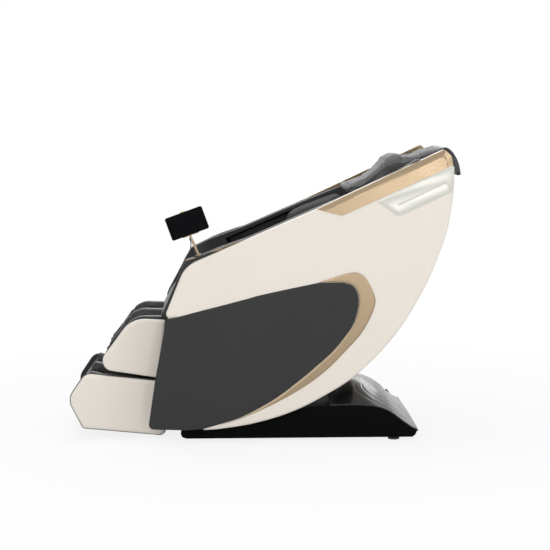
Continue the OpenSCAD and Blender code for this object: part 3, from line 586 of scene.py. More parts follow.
def grid_faces(columns: int, rows: int) -> np.ndarray:
    """Four-cornered faces of a grid of points, columns by rows, whose rows close into loops."""
    i, j = np.meshgrid(np.arange(columns - 1), np.arange(rows), indexing="ij")
    k = (j + 1) % rows
    return np.stack([i * rows + j, i * rows + k, (i + 1) * rows + k, (i + 1) * rows + j], -1).reshape(-1, 4)


def set_on_line(mesh: bpy.types.Mesh, old: np.ndarray, new: np.ndarray, reach: float = 1.5) -> None:
    """Moves the points of a mesh that lie on one line in x and z up or down onto another. The
    mesh is first cut where the new line bends, so that it can bend there too.

    Args:
        mesh: The mesh, in metres.
        old: Points of the line that it follows now, in millimetres.
        new: Points of the line wanted, in order of x.
        reach: Distance from the old line within which a point is on it.
    """
    work = bmesh.new()
    work.from_mesh(mesh)
    for x in new[:, 0]:
        everything = work.verts[:] + work.edges[:] + work.faces[:]
        bmesh.ops.bisect_plane(work, geom=everything, plane_co=(x * MM, 0, 0), plane_no=(1, 0, 0), dist=1e-6)
    work.to_mesh(mesh)
    work.free()
    points = read_points(mesh) / MM
    near = distance_to(points[:, [0, 2]], old) < reach
    near &= (points[:, 0] >= new[0, 0] - 0.01) & (points[:, 0] <= new[-1, 0] + 0.01)
    points[near, 2] = np.interp(points[near, 0], new[:, 0], new[:, 1])
    write_points(mesh, points * MM)


def softened(node: str, name: str, finish: Finish, body: str, width: float, segments: int = 3,
             angle: float = 30.0, lines: Optional[tuple[np.ndarray, np.ndarray]] = None) -> bpy.types.Object:
    """A copy of a node with its edges rounded by a bevel, which then replaces the node.

    Args:
        node: The node.
        name: Name of the new piece.
        finish: Its finish.
        body: The body that it rides on.
        width: Width of the bevel in millimetres.
        segments: Number of faces across the bevel.
        angle: Least angle in degrees of an edge that is rounded.
        lines: A line that the node's points leave and the line that they move to.

    Returns:
        The new object.
    """
    mesh = node_mesh(node, joined=True)
    if lines is not None:
        set_on_line(mesh, *lines)
    obj = linked(name, mesh)
    bevel = obj.modifiers.new("round", "BEVEL")
    bevel.width = width * MM
    bevel.segments = segments
    bevel.limit_method = "ANGLE"
    bevel.angle_limit = math.radians(angle)
    bevel.use_clamp_overlap = True
    return adopt(name, baked(obj), finish, body, (node,), 32.0)


def baked(obj: bpy.types.Object) -> bpy.types.Mesh:
    """The object's mesh with its modifiers applied; the object itself is removed."""
    bpy.context.view_layer.update()
    deps = bpy.context.evaluated_depsgraph_get()
    done = bpy.data.meshes.new_from_object(obj.evaluated_get(deps), depsgraph=deps)
    bpy.data.objects.remove(obj)
    return done


EDGE_ROWS = (0, 0.02, 0.08, 0.18, 0.32, 0.5, 0.75, 1.0, 1.35)


@dataclass(frozen=True)
class Plate:
    """A moulding between two boundary curves that meet at both ends.

    Its face lies at y = face and falls by drop towards the rounded edges along a quarter of
    an ellipse that is width wide, or straight where it has a chamfer; its back is flat.
    """

    upper: np.ndarray
    lower: np.ndarray
    back: float
    face: float
    drop: float
    width: float
    rounded_edge: Optional[np.ndarray] = None
    columns: int = 220
    rows: int = 24
    chamfer: bool = False

    def points(self) -> np.ndarray:
        """Rules the plate between equal shares of its two curves, with rows close together
        near the edges (EDGE_ROWS, as shares of the width), and works out y from the distance
        to the edge.

        Returns:
            The grid of points, columns by rows by 3, whose rows close into a loop.
        """
        high, low = resample(self.upper, self.columns), resample(self.lower, self.columns)
        span = np.maximum(np.linalg.norm(high - low, axis=1, keepdims=True), 1e-6)
        near = np.array(EDGE_ROWS) * self.width
        count = len(near)
        first = np.minimum(near[None, :] / span, 0.46 * np.arange(count)[None, :] / (count - 1))
        inner = first[:, -1:] + (1 - 2 * first[:, -1:]) * np.linspace(0, 1, self.rows)[None, 1:-1]
        share = np.concatenate([first, inner, 1 - first[:, ::-1]], 1)[..., None]
        flat = low[:, None, :] * (1 - share) + high[:, None, :] * share
        edge = self.rounded_edge
        if edge is None:
            edge = np.concatenate([self.upper, self.lower[::-1]])
        reach = np.clip(1 - distance_to(flat, edge) / self.width, 0, 1)
        y = self.face - self.drop * (reach if self.chamfer else 1 - np.sqrt(1 - reach**2))
        front = np.stack([flat[..., 0], y, flat[..., 1]], -1)
        rear_share = np.linspace(1, 0, 5)[None, :, None]
        rear = low[:, None, :] * (1 - rear_share) + high[:, None, :] * rear_share
        behind = np.stack([rear[..., 0], np.full(rear.shape[:2], self.back), rear[..., 1]], -1)
        return np.concatenate([front, behind], 1)

    def build(self, name: str, finish: Finish, body: str, side: Side,
              stands_for: Sequence[str] = ()) -> bpy.types.Object:
        """Makes the plate on a side of the chair."""
        grid = self.points() * np.array([1, side.value, 1])
        return piece(name, grid, finish, body, stands_for, 18.0 if self.chamfer else 38.0)


def split(outline: np.ndarray, first: int, last: int) -> tuple[np.ndarray, np.ndarray]:
    """Two boundaries of a closed outline, both running from one point to another."""
    ring = np.roll(outline, -first, axis=0)
    cut = (last - first) % len(outline)
    return ring[:cut + 1], np.concatenate([ring[cut:], ring[:1]])[::-1]


def tube(path: np.ndarray, radius: np.ndarray, around: int = 10) -> np.ndarray:
    """Round bar along a path: rings square to the path in a frame that follows +Y.

    Args:
        path: Points of the middle line, (n, 3).
        radius: Its radius at each point.
        around: Number of points in a ring.

    Returns:
        The grid of its points, with both ends closed to a point.
    """
    ahead = np.gradient(path, axis=0)
    ahead /= np.maximum(np.linalg.norm(ahead, axis=1, keepdims=True), 1e-9)
    aside = np.cross(ahead, np.array([0.13, 1.0, 0.07]))
    aside /= np.maximum(np.linalg.norm(aside, axis=1, keepdims=True), 1e-9)
    over = np.cross(ahead, aside)
    turn = np.linspace(0, 2 * math.pi, around, endpoint=False)
    rings = path[:, None, :] + radius[:, None, None] * (
        np.cos(turn)[None, :, None] * aside[:, None, :] + np.sin(turn)[None, :, None] * over[:, None, :]
    )
    first, last = (np.repeat(end[:, None, :], around, 1) for end in (path[:1], path[-1:]))
    return np.concatenate([first, rings, last])


# ---- studio ----


@dataclass(frozen=True)
class Studio:
    """Camera, lamps, world and floor."""

    target: tuple = (-0.106, -0.380, 0.689)
    distance: float = 6.0
    azimuth: float = -2.25
    elevation: float = 6.5
    lens: float = 98.2
    world_strength: float = 0.44
    floor_half: float = 40.0
    glow_reach: tuple = (0.7, 2.6)
    glow_rise: float = 0.16
    glow_near: float = 0.84
    lamp_table: tuple = (
        ("front_lamp", (-1.6, -4.6, 2.6), (-0.1, 0, 0.6), (3.2, 2.2), 76),
        ("head_lamp", (3.6, -2.6, 2.4), (0.1, 0, 0.7), (1.6, 2.4), 36),
        ("top_lamp", (-0.4, 0.4, 3.6), (-0.1, 0, 0.5), (3.4, 1.6), 48),
        ("rear_lamp", (0.5, 4.6, 2.2), (0, 0, 0.7), (3.0, 2.0), 36),
        ("strip_lamp", (1.05, -5.3, 1.0), (0.42, -0.38, 1.0), (0.2, 1.5), 19),
    )

    def camera(self) -> None:
        """The camera looks at the target from a distance, an azimuth and an elevation."""
        az, el = math.radians(self.azimuth), math.radians(self.elevation)
        away = Vector((math.cos(el) * math.sin(az), -math.cos(el) * math.cos(az), math.sin(el)))
        data = bpy.data.cameras.new("camera")
        data.lens, data.sensor_width = self.lens, 36.0
        data.clip_end = 60
        obj = linked("camera", data)
        obj.location = Vector(self.target) + away * self.distance
        obj.rotation_euler = (math.radians(90) - el, 0, az)
        bpy.context.scene.camera = obj

    def lamp(self, name: str, place: Sequence[float], aim: Sequence[float], size: Sequence[float],
             power: float) -> None:
        """One rectangular soft lamp, aimed at a point."""
        data = bpy.data.lights.new(name, "AREA")
        data.shape, data.size, data.size_y, data.energy = "RECTANGLE", size[0], size[1], power
        obj = linked(name, data)
        obj.location = place
        obj.rotation_euler = (Vector(aim) - Vector(place)).to_track_quat("-Z", "Y").to_euler()

    def lamps(self) -> None:
        """A broad front lamp, a higher one from the head end, long ones above and behind, and a
        narrow strip that draws the highlight down the rail and the silver panel."""
        for entry in self.lamp_table:
            self.lamp(*entry)

    def backdrop(self) -> None:
        """A world that lights evenly and shows white, and a pale floor that keeps the shadow."""
        world = bpy.data.worlds.new("studio")
        bpy.context.scene.world = world
        world.use_nodes = True
        tree = world.node_tree
        tree.nodes.clear()
        shades = []
        for strength in (self.world_strength, 1.0):
            shade = tree.nodes.new("ShaderNodeBackground")
            shade.inputs["Color"].default_value = (1, 1, 1, 1)
            shade.inputs["Strength"].default_value = strength
            shades.append(shade)
        mix = tree.nodes.new("ShaderNodeMixShader")
        out = tree.nodes.new("ShaderNodeOutputWorld")
        tree.links.new(self.background_rays(tree), mix.inputs[0])
        for place, shade in enumerate(shades, 1):
            tree.links.new(shade.outputs[0], mix.inputs[place])
        tree.links.new(mix.outputs[0], out.inputs[0])
        size = self.floor_half
        corners = [(-size, -size, 0), (size, -size, 0), (size, size, 0), (-size, size, 0)]
        mesh = bpy.data.meshes.new("floor")
        mesh.from_pydata(corners, [], [(0, 1, 2, 3)])
        floor = linked("floor", mesh)
        floor.data.materials.append(self.floor_finish())

    @staticmethod
    def background_rays(tree: bpy.types.NodeTree) -> bpy.types.NodeSocket:
        """1 for camera, glossy and transmission rays, which see the background, and 0 for others."""
        path = tree.nodes.new("ShaderNodeLightPath")
        total = path.outputs["Is Camera Ray"]
        for kind in ("Is Glossy Ray", "Is Transmission Ray"):
            add = tree.nodes.new("ShaderNodeMath")
            add.operation, add.use_clamp = "ADD", True
            tree.links.new(total, add.inputs[0])
            tree.links.new(path.outputs[kind], add.inputs[1])
            total = add.outputs[0]
        return total

    def floor_finish(self) -> bpy.types.Material:
        """Matt white paper that glows where the camera sees it: less under the chair, so that
        the shadow stays, and fully far out, so that it meets the white behind it."""
        g = Graph("paper_floor")
        grain = g.noise(g.coordinates(), 30.0)
        paper = g.mix(grain, (0.86, 0.86, 0.86), (0.88, 0.88, 0.88))
        g.dress(base_color=paper, roughness=0.9, specular_ior_level=0.1)
        glow = g.add("ShaderNodeEmission", {}, {"Color": (1, 1, 1, 1), "Strength": 1.0})
        seen = Value(g, self.background_rays(g.tree))
        away = g.add("ShaderNodeVectorMath", {"operation": "LENGTH"}, {0: g.coordinates()}, "Value")
        share = away.smooth_step(*self.glow_reach) * self.glow_rise + self.glow_near
        mixed = g.add("ShaderNodeMixShader", {}, {0: seen * share, 1: Value(g, g.shader.outputs[0]), 2: glow})
        g.tree.links.new(mixed.socket, g.output.inputs["Surface"])
        return g.material

    def build(self) -> None:
        """Makes the studio."""
        bpy.context.scene.view_settings.view_transform = "Standard"
        self.camera()
        self.lamps()
        self.backdrop()


# ---- shell ----


@dataclass
class Shell:
    """The capsule's hard outside: side shells, inserts, crescents, rails and the rear shell."""

    panel_back: float = 344.0
    panel_face: float = 380.0
    insert_proud: float = 5.0
    rail_proud: float = 4.0
    seam: float = 1.5
    nose_round: float = 17.0
    arm_corner_round: float = 120.0
    rail_rounds: tuple = (24, 14, 8)
    foot_round: float = 20.0
    cover_depths: tuple = (9.0, 14.0)
    groove_y: float = 318.0
    groove_w: float = 3.0
    groove_depth: float = 2.4
    rail_tip: tuple = (60, 951)
    rail_low: tuple = (163, 926)
    rail_end_low: tuple = (606, 1128)
    rail_end: tuple = (598, 1164)
    rail_top: tuple = (571, 1189)
    nose: tuple = (-552, 511)
    arm_corner: tuple = (-466, 723)
    seam_start: tuple = (-500, 519)
    shell_tip: tuple = (-395, 58)
    cover_end: tuple = (220, 285)
    arm_node_line: tuple = ((-560, 530), (-474, 732), (182, 1016), (470, 1147))
    arm_node_rounds: tuple = (150, 60)
    arm_nose_left: tuple = ((-553, 540), (-468, 735), (-464, 743), (-456, 747), (-410, 759.6))
    arm_nose_right: tuple = ((-562, 530), (-452, 736), (-225, 830))
    arm_nose_right_start: tuple = (-553, 547)
    arm_nose_right_round: float = 40.0
    arm_rest_left: tuple = (
        (-370, 775.6), (-318, 797), (-216, 832), (-145, 862), (60, 951), (182, 1003), (400, 1106),
        (463, 1143.5),
    )
    arm_rest_right: tuple = (
        (-370, 775.6), (-318, 795), (-216, 831), (-145, 862), (34, 938), (141, 981), (213, 1008), (356, 1079),
        (463, 1143.5),
    )
    # Ends and radius of the pale strip that paints the highlight along the left arm's top front edge.
    highlight_strip_ends: tuple = ((-462.0, -344.6, 745.5), (-424.0, -344.6, 756.5))
    highlight_strip_radius: float = 2.2
    insert_top: tuple = (
        (-541, 514), (-516, 516), (-474, 527), (-390, 549), (-306, 570), (-222, 592), (-146, 612), (70, 657),
    )
    insert_end: tuple = (
        (167, 657), (206, 644), (227, 610), (230, 565), (213, 496), (177, 439), (124, 375), (52, 310),
        (-25, 246),
        (-114, 181), (-231, 117), (-320, 86), (-398, 64),
    )
    insert_foot: tuple = ((-461, 59), (-560, 62), (-618, 64), (-588, 266), (-541, 514))
    crescent_outer: tuple = (
        (70, 658.5), (195, 696), (243, 688), (268, 660), (292, 609), (297, 570), (273, 505), (233, 440),
        (174, 375),
        (110, 310), (29, 246), (-80, 181), (-219, 116), (-330, 81),
    )

    def rear_curve(self, steps: int = 16) -> np.ndarray:
        """The rear edge from the rail's end down to the shell's tip, as a smooth curve."""
        return smooth([
            self.rail_end_low, (611, 1050), (600, 944), (574, 827), (497, 634), (377, 439), (224, 281),
            (81, 188), (-49, 126), (-192, 84), (-323, 63), self.shell_tip,
        ], steps)

    def notch(self) -> np.ndarray:
        """The rail's lower edge, rounded at its low corner."""
        return corner_arc(self.rail_tip, self.rail_low, self.rail_end_low, self.rail_rounds[0])

    def side_panel(self, side: Side) -> None:
        """Cream shell: ruled between its top edge and its rear curve, rounded broadly at both
        and left flush where the rail lies on it."""
        rear = self.rear_curve()
        front = np.concatenate([
            [self.seam_start], corner_arc(self.seam_start, self.nose, self.arm_corner, self.nose_round),
            corner_arc(self.nose, self.arm_corner, self.rail_tip, self.arm_corner_round), [self.rail_tip],
        ])
        upper = np.concatenate([front, self.notch(), [self.rail_end_low]])
        lower = np.concatenate([rear, [self.seam_start]])[::-1]
        edge = np.concatenate([front[::-1][1:], rear[::-1], [self.rail_end_low]])
        plate = Plate(upper, lower, self.panel_back, self.panel_face, drop=10.0, width=13.0,
                      rounded_edge=edge, columns=420, rows=40)
        plate.build(f"cream_panel_{side.tag}", Finish.CREAM, "capsule", side, (f"side_panel_{side.tag}",))

    def insert(self, side: Side) -> None:
        """Dark insert with a narrow round along its edge."""
        end = smooth(self.insert_end, 8)
        tip = int(np.argmax(end[:, 0]))
        upper = np.concatenate([smooth(self.insert_top, 8), end[:tip + 1]])
        foot = np.array(self.insert_foot, float)
        foot = np.concatenate([foot[:1], corner_arc(foot[1], foot[2], foot[3], self.foot_round), foot[3:]])
        lower = np.concatenate([end[tip:], foot])[::-1]
        plate = Plate(upper, lower, self.panel_back, self.panel_face + self.insert_proud, drop=5.0,
                      width=9.0, columns=320, rows=30)
        plate.build(f"dark_insert_{side.tag}", Finish.DARK, "capsule", side, (f"insert_panel_{side.tag}",))

    def crescent(self, side: Side) -> None:
        """Gold crescent between the insert and the cream shell, rounded along its edge."""
        outer = smooth(self.crescent_outer, 10)
        inner = beside(smooth(self.insert_end[:12], 10), -self.seam)
        inner = np.concatenate([outer[:1], inner, outer[-1:]])
        plate = Plate(outer, inner, self.panel_face - 2, self.panel_face + self.insert_proud, drop=3.2,
                      width=6.0, columns=300, rows=12)
        plate.build(f"gold_crescent_{side.tag}", Finish.GOLD, "capsule", side, (f"crescent_trim_{side.tag}",))

    def rail(self, side: Side) -> None:
        """Gold top rail: a broad chamfer along its top and a crisp lower edge."""
        top_round, end_round = self.rail_rounds[1:]
        top = np.concatenate([
            [self.rail_tip], corner_arc(self.rail_tip, self.rail_top, self.rail_end, top_round),
            corner_arc(self.rail_top, self.rail_end, self.rail_end_low, end_round), [self.rail_end_low],
        ])
        lower = np.concatenate([[self.rail_tip], self.notch(), [self.rail_end_low]])
        plate = Plate(top, lower, self.panel_back, self.panel_face + self.rail_proud, drop=12.0, width=22.0,
                      rounded_edge=top, columns=260, rows=16, chamfer=True)
        plate.build(f"gold_rail_{side.tag}", Finish.GOLD, "capsule", side, (f"top_rail_{side.tag}",))

    def arm(self, side: Side) -> None:
        """Arm: its node's top is set on a lower line with an elbow, and with a sharper front
        corner on the left, where the tablet's post stands."""
        start, corner, shoulder, end = self.arm_node_line
        first, second = self.arm_node_rounds
        old = np.concatenate([
            [start], corner_arc(start, corner, shoulder, first), corner_arc(corner, shoulder, end, second),
            [end],
        ])
        if side is Side.LEFT:
            new = np.concatenate([self.arm_nose_left, self.arm_rest_left])
        else:
            nose = corner_arc(*self.arm_nose_right, self.arm_nose_right_round, 6)
            new = np.concatenate([[self.arm_nose_right_start], nose, self.arm_rest_right])
        softened(f"inner_shell_{side.tag}", f"arm_{side.tag}", Finish.DARK, "capsule", 6.0, 4, 25.0,
                 lines=(old, new))

    def arm_highlight_strip(self) -> None:
        """Pale gold strip on the left arm's outer top edge, in front of the tablet's post: a painted
        highlight, made as a thin trim.
        """
        run = resample(np.array(self.highlight_strip_ends), 12)
        thin = np.sin(np.linspace(0.3, math.pi - 0.3, len(run))) ** 0.3
        piece("arm_highlight_strip_left", tube(run, self.highlight_strip_radius * thin), Finish.GOLD, "capsule")

    def rear(self) -> None:
        """Rear shell: the rear curve moved in, carried across between the side shells, with a
        wide shallow groove near each side. Its upper end is closed to its middle line; its
        lower end is open."""
        curve = self.rear_curve(20)
        outer, inner = (resample(beside(curve, depth), 200) for depth in self.cover_depths)
        keep = int(np.argmin(np.linalg.norm(outer - self.cover_end, axis=1)))
        outer, inner = outer[:keep], inner[:keep]
        half = self.panel_back
        y = np.concatenate([
            np.linspace(-half, -300, 14), np.linspace(-296, 296, 30), np.linspace(300, half, 14),
        ])
        dent = -furrow(np.abs(y) - self.groove_y, self.groove_w, self.groove_depth)
        face = outer[:, None, :] + dent[None, :, None] * normals_of(outer)[:, None, :]
        back = np.repeat(inner[:, None, :], len(y), 1)[:, ::-1]
        flat = np.concatenate([face, back], 1)
        ys = np.broadcast_to(np.concatenate([y, y[::-1]])[None, :], flat.shape[:2])
        grid = np.stack([flat[..., 0], ys, flat[..., 1]], -1)
        middle = grid[:1].mean(1, keepdims=True)
        end = middle * np.array([1, 0, 1]) + grid[:1] * np.array([0, 1, 0])
        piece("rear_cover", np.concatenate([end, grid]), Finish.CREAM, "capsule", ("rear_shell",))

    def build(self) -> None:
        """Makes the shell's pieces on both sides."""
        for side in Side:
            self.side_panel(side)
            self.insert(side)
            self.crescent(side)
            self.rail(side)
            self.arm(side)
            softened(f"speaker_panel_{side.tag}", f"speaker_{side.tag}", Finish.SILVER, "capsule", 0.8, 2)
            softened(f"arm_vent_{side.tag}", f"vent_{side.tag}", Finish.GOLD, "capsule", 0.8, 2)
        # Pale strip that paints the highlight along the left arm's top front edge.
        self.arm_highlight_strip()
        self.rear()


# ---- base ----


@dataclass
class Base:
    """Low base: tray, dome cover and what stands out of them."""

    half_w: float = 332.0
    dome_wall: float = 4.0
    dome_power: float = 2.2
    ring_radii: tuple = (62.0, 96.0, 130.0)
    ring_w: float = 2.2
    ring_depth: float = 1.6
    ring_fade: float = 20.0
    tray_line: tuple = (
        (121, 150), (178, 152), (235, 151), (290, 148), (321, 145), (360, 137), (394, 127), (425, 114),
        (452, 97),
        (470, 80), (482, 60), (484, 46),
    )
    side_line: tuple = (
        (121, 150), (178, 152), (235, 151), (290, 147), (321, 141), (352, 130), (380, 114), (404, 96),
        (430, 76),
        (456, 58), (478, 47), (484, 42),
    )
    mid_line: tuple = (
        (121, 154), (178, 183), (240, 200), (280, 201), (318, 188), (350, 170), (376, 150), (402, 120),
        (430, 93),
        (456, 71), (482, 50), (490, 38),
    )
    label: tuple = (352.0, -150.0)
    label_scale: tuple = (1.15, 0.8)

    def dome(self) -> None:
        """Dome: at y its line lies between the rim's and the crown's by 1 - |y / half| to a
        power, with ring grooves about the bare oval left on its near slope."""
        across = np.sin(np.linspace(-math.pi / 2, math.pi / 2, 130))
        rise = (1 - np.abs(across) ** self.dome_power)[None, :, None]
        rim, crown = (resample(smooth(line, 10), 150) for line in (self.side_line, self.mid_line))
        top = rim[:, None, :] * (1 - rise) + crown[:, None, :] * rise
        y = np.broadcast_to(across[None, :] * self.half_w, top.shape[:2])
        radius = np.hypot((top[..., 0] - self.label[0]) * self.label_scale[0],
                          (y - self.label[1]) * self.label_scale[1])
        groove = -sum(furrow(radius - ring, self.ring_w, self.ring_depth) for ring in self.ring_radii)
        groove = groove * np.clip((self.half_w - np.abs(y)) / self.ring_fade, 0, 1)
        inward = normals_of(top)
        face = top + groove[..., None] * inward
        under = (top + self.dome_wall * inward)[::-1]
        flat = np.concatenate([face, under])
        ys = np.concatenate([y, y[::-1]])
        grid = np.stack([flat[..., 0], ys, flat[..., 1]], -1).transpose(1, 0, 2)
        middle = grid.copy()
        half = len(top)
        middle[:, :half] = (grid[:, :half] + grid[:, half:][:, ::-1]) / 2
        middle[:, half:] = middle[:, :half][:, ::-1]
        grid = np.concatenate([middle[:1], grid, middle[-1:]])
        piece("dome_cover", grid, Finish.DOME, "base", ("base_dome",))

    def build(self) -> None:
        """Makes the base's pieces."""
        self.dome()
        rims = [beside(np.array(line, float), self.dome_wall) for line in (self.tray_line, self.side_line)]
        softened("base_tray", "base_skirt", Finish.BASE, "base", 2.0, 3, 25.0, (rims[0], rims[1]))
        softened("base_feet", "feet", Finish.RUBBER, "base", 2.0, 2)


# ---- soft parts ----


@dataclass(frozen=True)
class Cushion:
    """A padded piece: its solid is remeshed, blown up as cloth and kept near its form."""

    node: str
    name: str
    finish: Finish
    body: str
    voxel: float = 6.0
    shrink: float = 4.0
    pressure: float = 4.0
    cap: float = 8.0
    fill: float = 0.8
    frames: int = 20
    shape: Optional[Callable[[np.ndarray, np.ndarray], np.ndarray]] = None

    def build(self) -> bpy.types.Object:
        """Makes the cushion.

        Returns:
            The new object, which replaces the node.
        """
        obj = linked(self.name, node_mesh(self.node))
        remesh = obj.modifiers.new("remesh", "REMESH")
        remesh.mode, remesh.voxel_size = "VOXEL", self.voxel * MM
        mesh = baked(obj)
        start = read_points(mesh) - self.normals(mesh) * self.shrink * MM
        write_points(mesh, start)
        move = self.blown(mesh) - start
        size = np.maximum(np.linalg.norm(move, axis=1, keepdims=True), 1e-9)
        limit = self.cap * MM
        write_points(mesh, start + move / size * limit * np.tanh(size / limit))
        obj = linked(self.name, mesh)
        relax = obj.modifiers.new("relax", "SMOOTH")
        relax.factor, relax.iterations = 0.5, 4
        finer = obj.modifiers.new("finer", "SUBSURF")
        finer.levels = finer.render_levels = 1
        mesh = baked(obj)
        if self.shape is not None:
            points, normals = read_points(mesh), self.normals(mesh)
            write_points(mesh, points + normals * (self.shape(points / MM, normals) * MM)[:, None])
        made = adopt(self.name, mesh, self.finish, self.body, (self.node,), 180.0, 0.001)
        return made

    @staticmethod
    def normals(mesh: bpy.types.Mesh) -> np.ndarray:
        """The normals at the mesh's points."""
        normals = np.zeros(len(mesh.vertices) * 3)
        mesh.vertex_normals.foreach_get("vector", normals)
        return normals.reshape(-1, 3)

    def blown(self, mesh: bpy.types.Mesh) -> np.ndarray:
        """Points of the mesh after the cloth has been blown up over its frames."""
        obj = linked("blown", mesh.copy())
        cloth = obj.modifiers.new("cloth", "CLOTH")
        cloth.settings.use_pressure = True
        cloth.settings.uniform_pressure_force = self.pressure
        cloth.settings.effector_weights.gravity = 0
        cloth.settings.quality = 5
        cloth.collision_settings.use_collision = False
        cloth.collision_settings.use_self_collision = False
        cloth.point_cache.frame_start, cloth.point_cache.frame_end = 1, self.frames
        scene = bpy.context.scene
        for step in range(1, self.frames + 1):
            scene.frame_set(step)
        deps = bpy.context.evaluated_depsgraph_get()
        points = read_points(obj.evaluated_get(deps).to_mesh())
        obj.evaluated_get(deps).to_mesh_clear()
        bpy.data.objects.remove(obj)
        scene.frame_set(1)
        return points


@dataclass
class SoftParts:
    """Seat, back, wings, pillow, arm linings, the two leg cushions and two leather leaves."""

    seat_seam: float = 150.0
    seat_cross: float = -330.0
    back_lean: float = math.radians(52.5)
    back_foot: tuple = (-60.0, 545.0)
    back_seam: float = 168.0
    back_bands: tuple = (120.0, 240.0, 360.0)
    hollow_depth: float = 12.0
    hollow_half: float = 125.0
    hollow_edge: float = 25.0
    pillow_half: float = 176.0
    pillow_folds: tuple = ((262, 4), (345, 7), (436, 9), (520, 4), (585, 4))
    pillow_sink: tuple = (
        (150, 5), (200, 20), (290, 30), (325, 25), (360, 10), (430, 9), (457, 22), (490, 26), (523, 16),
        (560, 10), (590, 0),
    )
    wing_sink: tuple = ((40, 0), (120, 5), (200, 10), (300, 10))
    foot_sink: tuple = ((150, 0), (190, 9), (260, 11))
    calf_folds: tuple = (70.0, 150.0, 226.0)
    calf_crown: float = 9.0
    flap_line: tuple = ((-514, 592), (-528, 570), (-540, 549), (-551, 528), (-563, 510))
    tongue_line: tuple = ((572, 1164), (604, 1182), (629, 1165), (652, 1124), (665, 1077))

    def seat_shape(self, p: np.ndarray, n: np.ndarray) -> np.ndarray:
        """Two long seams and one cross seam in the seat's top, and its front edge drawn in."""
        y = np.abs(p[:, 1])
        long_seam = furrow(y - self.seat_seam, 6, 5)
        cross = furrow(p[:, 0] - self.seat_cross, 6, 4) * (y < self.seat_seam)
        front = -14 * facing(-n[:, 0], 1.6) * profile(p[:, 0], ((-540, 1), (-500, 0)))
        return facing(n[:, 2]) * (long_seam + cross) + front

    def back_shape(self, p: np.ndarray, n: np.ndarray) -> np.ndarray:
        """Cross channels up the back, a long seam near each side and a hollow behind, in which
        the rollers run clear of the pad."""
        y = np.abs(p[:, 1])
        along, out = math.cos(self.back_lean), math.sin(self.back_lean)
        up = (p[:, 0] - self.back_foot[0]) * along + (p[:, 2] - self.back_foot[1]) * out
        ahead = n[:, 2] * along - n[:, 0] * out
        long_seam = furrow(y - self.back_seam, 6, 5)
        bands = sum(furrow(up - at, 7, 5) for at in self.back_bands) * (y < self.back_seam)
        hollow = -self.hollow_depth * np.clip((self.hollow_half - y) / self.hollow_edge, 0, 1)
        return facing(ahead) * (long_seam + bands) + facing(-ahead) * hollow

    def pillow_shape(self, p: np.ndarray, n: np.ndarray) -> np.ndarray:
        """Cross folds in the pillow's top, deepest at the sides, fine ripples at its middle fold,
        and the whole top sunk along its length."""
        side = 0.5 + 0.5 * np.clip(np.abs(p[:, 1]) / self.pillow_half, 0, 1)
        bend = 8 * np.cos(p[:, 1] / 60)
        folds = sum(furrow(p[:, 0] - at - bend, 8, depth) for at, depth in self.pillow_folds)
        ripple = 1.3 * np.sin(p[:, 1] / 11 + p[:, 0] / 37) * np.exp(-((p[:, 0] - 436) / 40) ** 2)
        return facing(n[:, 2]) * (folds * side + ripple - profile(p[:, 0], self.pillow_sink))

    def wing_shape(self, p: np.ndarray, n: np.ndarray) -> np.ndarray:
        """The wing's top edge is drawn in towards the head end."""
        return -facing(n[:, 2]) * profile(p[:, 0], self.wing_sink)

    def foot_shape(self, p: np.ndarray, n: np.ndarray) -> np.ndarray:
        """The toe end is drawn in above its middle."""
        return -facing(-n[:, 0], 1.6) * profile(p[:, 2], self.foot_sink)

    def calf_shape(self, p: np.ndarray, n: np.ndarray) -> np.ndarray:
        """Cross creases over the walls of the calf channels, and a fuller top behind."""
        wall = (np.abs(p[:, 1]) < 30) | (np.abs(p[:, 1]) > 205)
        along = (p[:, 0] + 850) * 0.61 + (p[:, 2] - 300) * 0.79
        rear = profile(p[:, 0], ((-700, 0), (-640, 1)))
        crown = self.calf_crown * np.clip(n[:, 2] * 2 - 0.6, 0, 1) * rear
        return wall * sum(furrow(along - at, 6, 4) for at in self.calf_folds) + crown

    def leaf(self, name: str, points: Sequence[Sequence[float]], half: Sequence[float], half_w: float,
             body: Optional[str]) -> bpy.types.Object:
        """Padded leather leaf: a line in x and z, thickened along its normals and carried across.

        Args:
            name: Name of the piece.
            points: Points of the leaf's middle line.
            half: Half its thickness at the start, the middle and the end.
            half_w: Half its width.
            body: The body that it rides on, or None.

        Returns:
            The new object.
        """
        line = resample(smooth(points, 8), 30)
        share = np.linspace(0, 1, len(line))
        size = np.interp(share, [0, 0.5, 1], half) * np.sin(np.pi * (0.06 + 0.88 * share)) ** 0.3
        aside = normals_of(line) * size[:, None]
        ring = np.concatenate([line + aside, (line - aside)[::-1]])
        y = half_w * np.sin(np.linspace(-math.pi / 2, math.pi / 2, 41))
        full = np.sqrt(np.clip(1 - (np.abs(y) / half_w) ** 60, 0, 1))[:, None, None]
        middle = np.concatenate([line, line[::-1]])
        flat = middle + full * (ring - middle)
        grid = np.stack([flat[..., 0], np.broadcast_to(y[:, None], flat.shape[:2]), flat[..., 1]], -1)
        return piece(name, grid, Finish.LEATHER, body, sharp=180.0)

    def leaves(self) -> None:
        """Leaf over the knee gap, on no body, and the black tongue that
        hangs over the head end behind the pillow."""
        flap = self.leaf("knee_flap", self.flap_line, (7, 7, 7), 250.0, None)
        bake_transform(flap)
        self.leaf("head_tongue", self.tongue_line, (9, 11, 12), 165.0, "capsule")

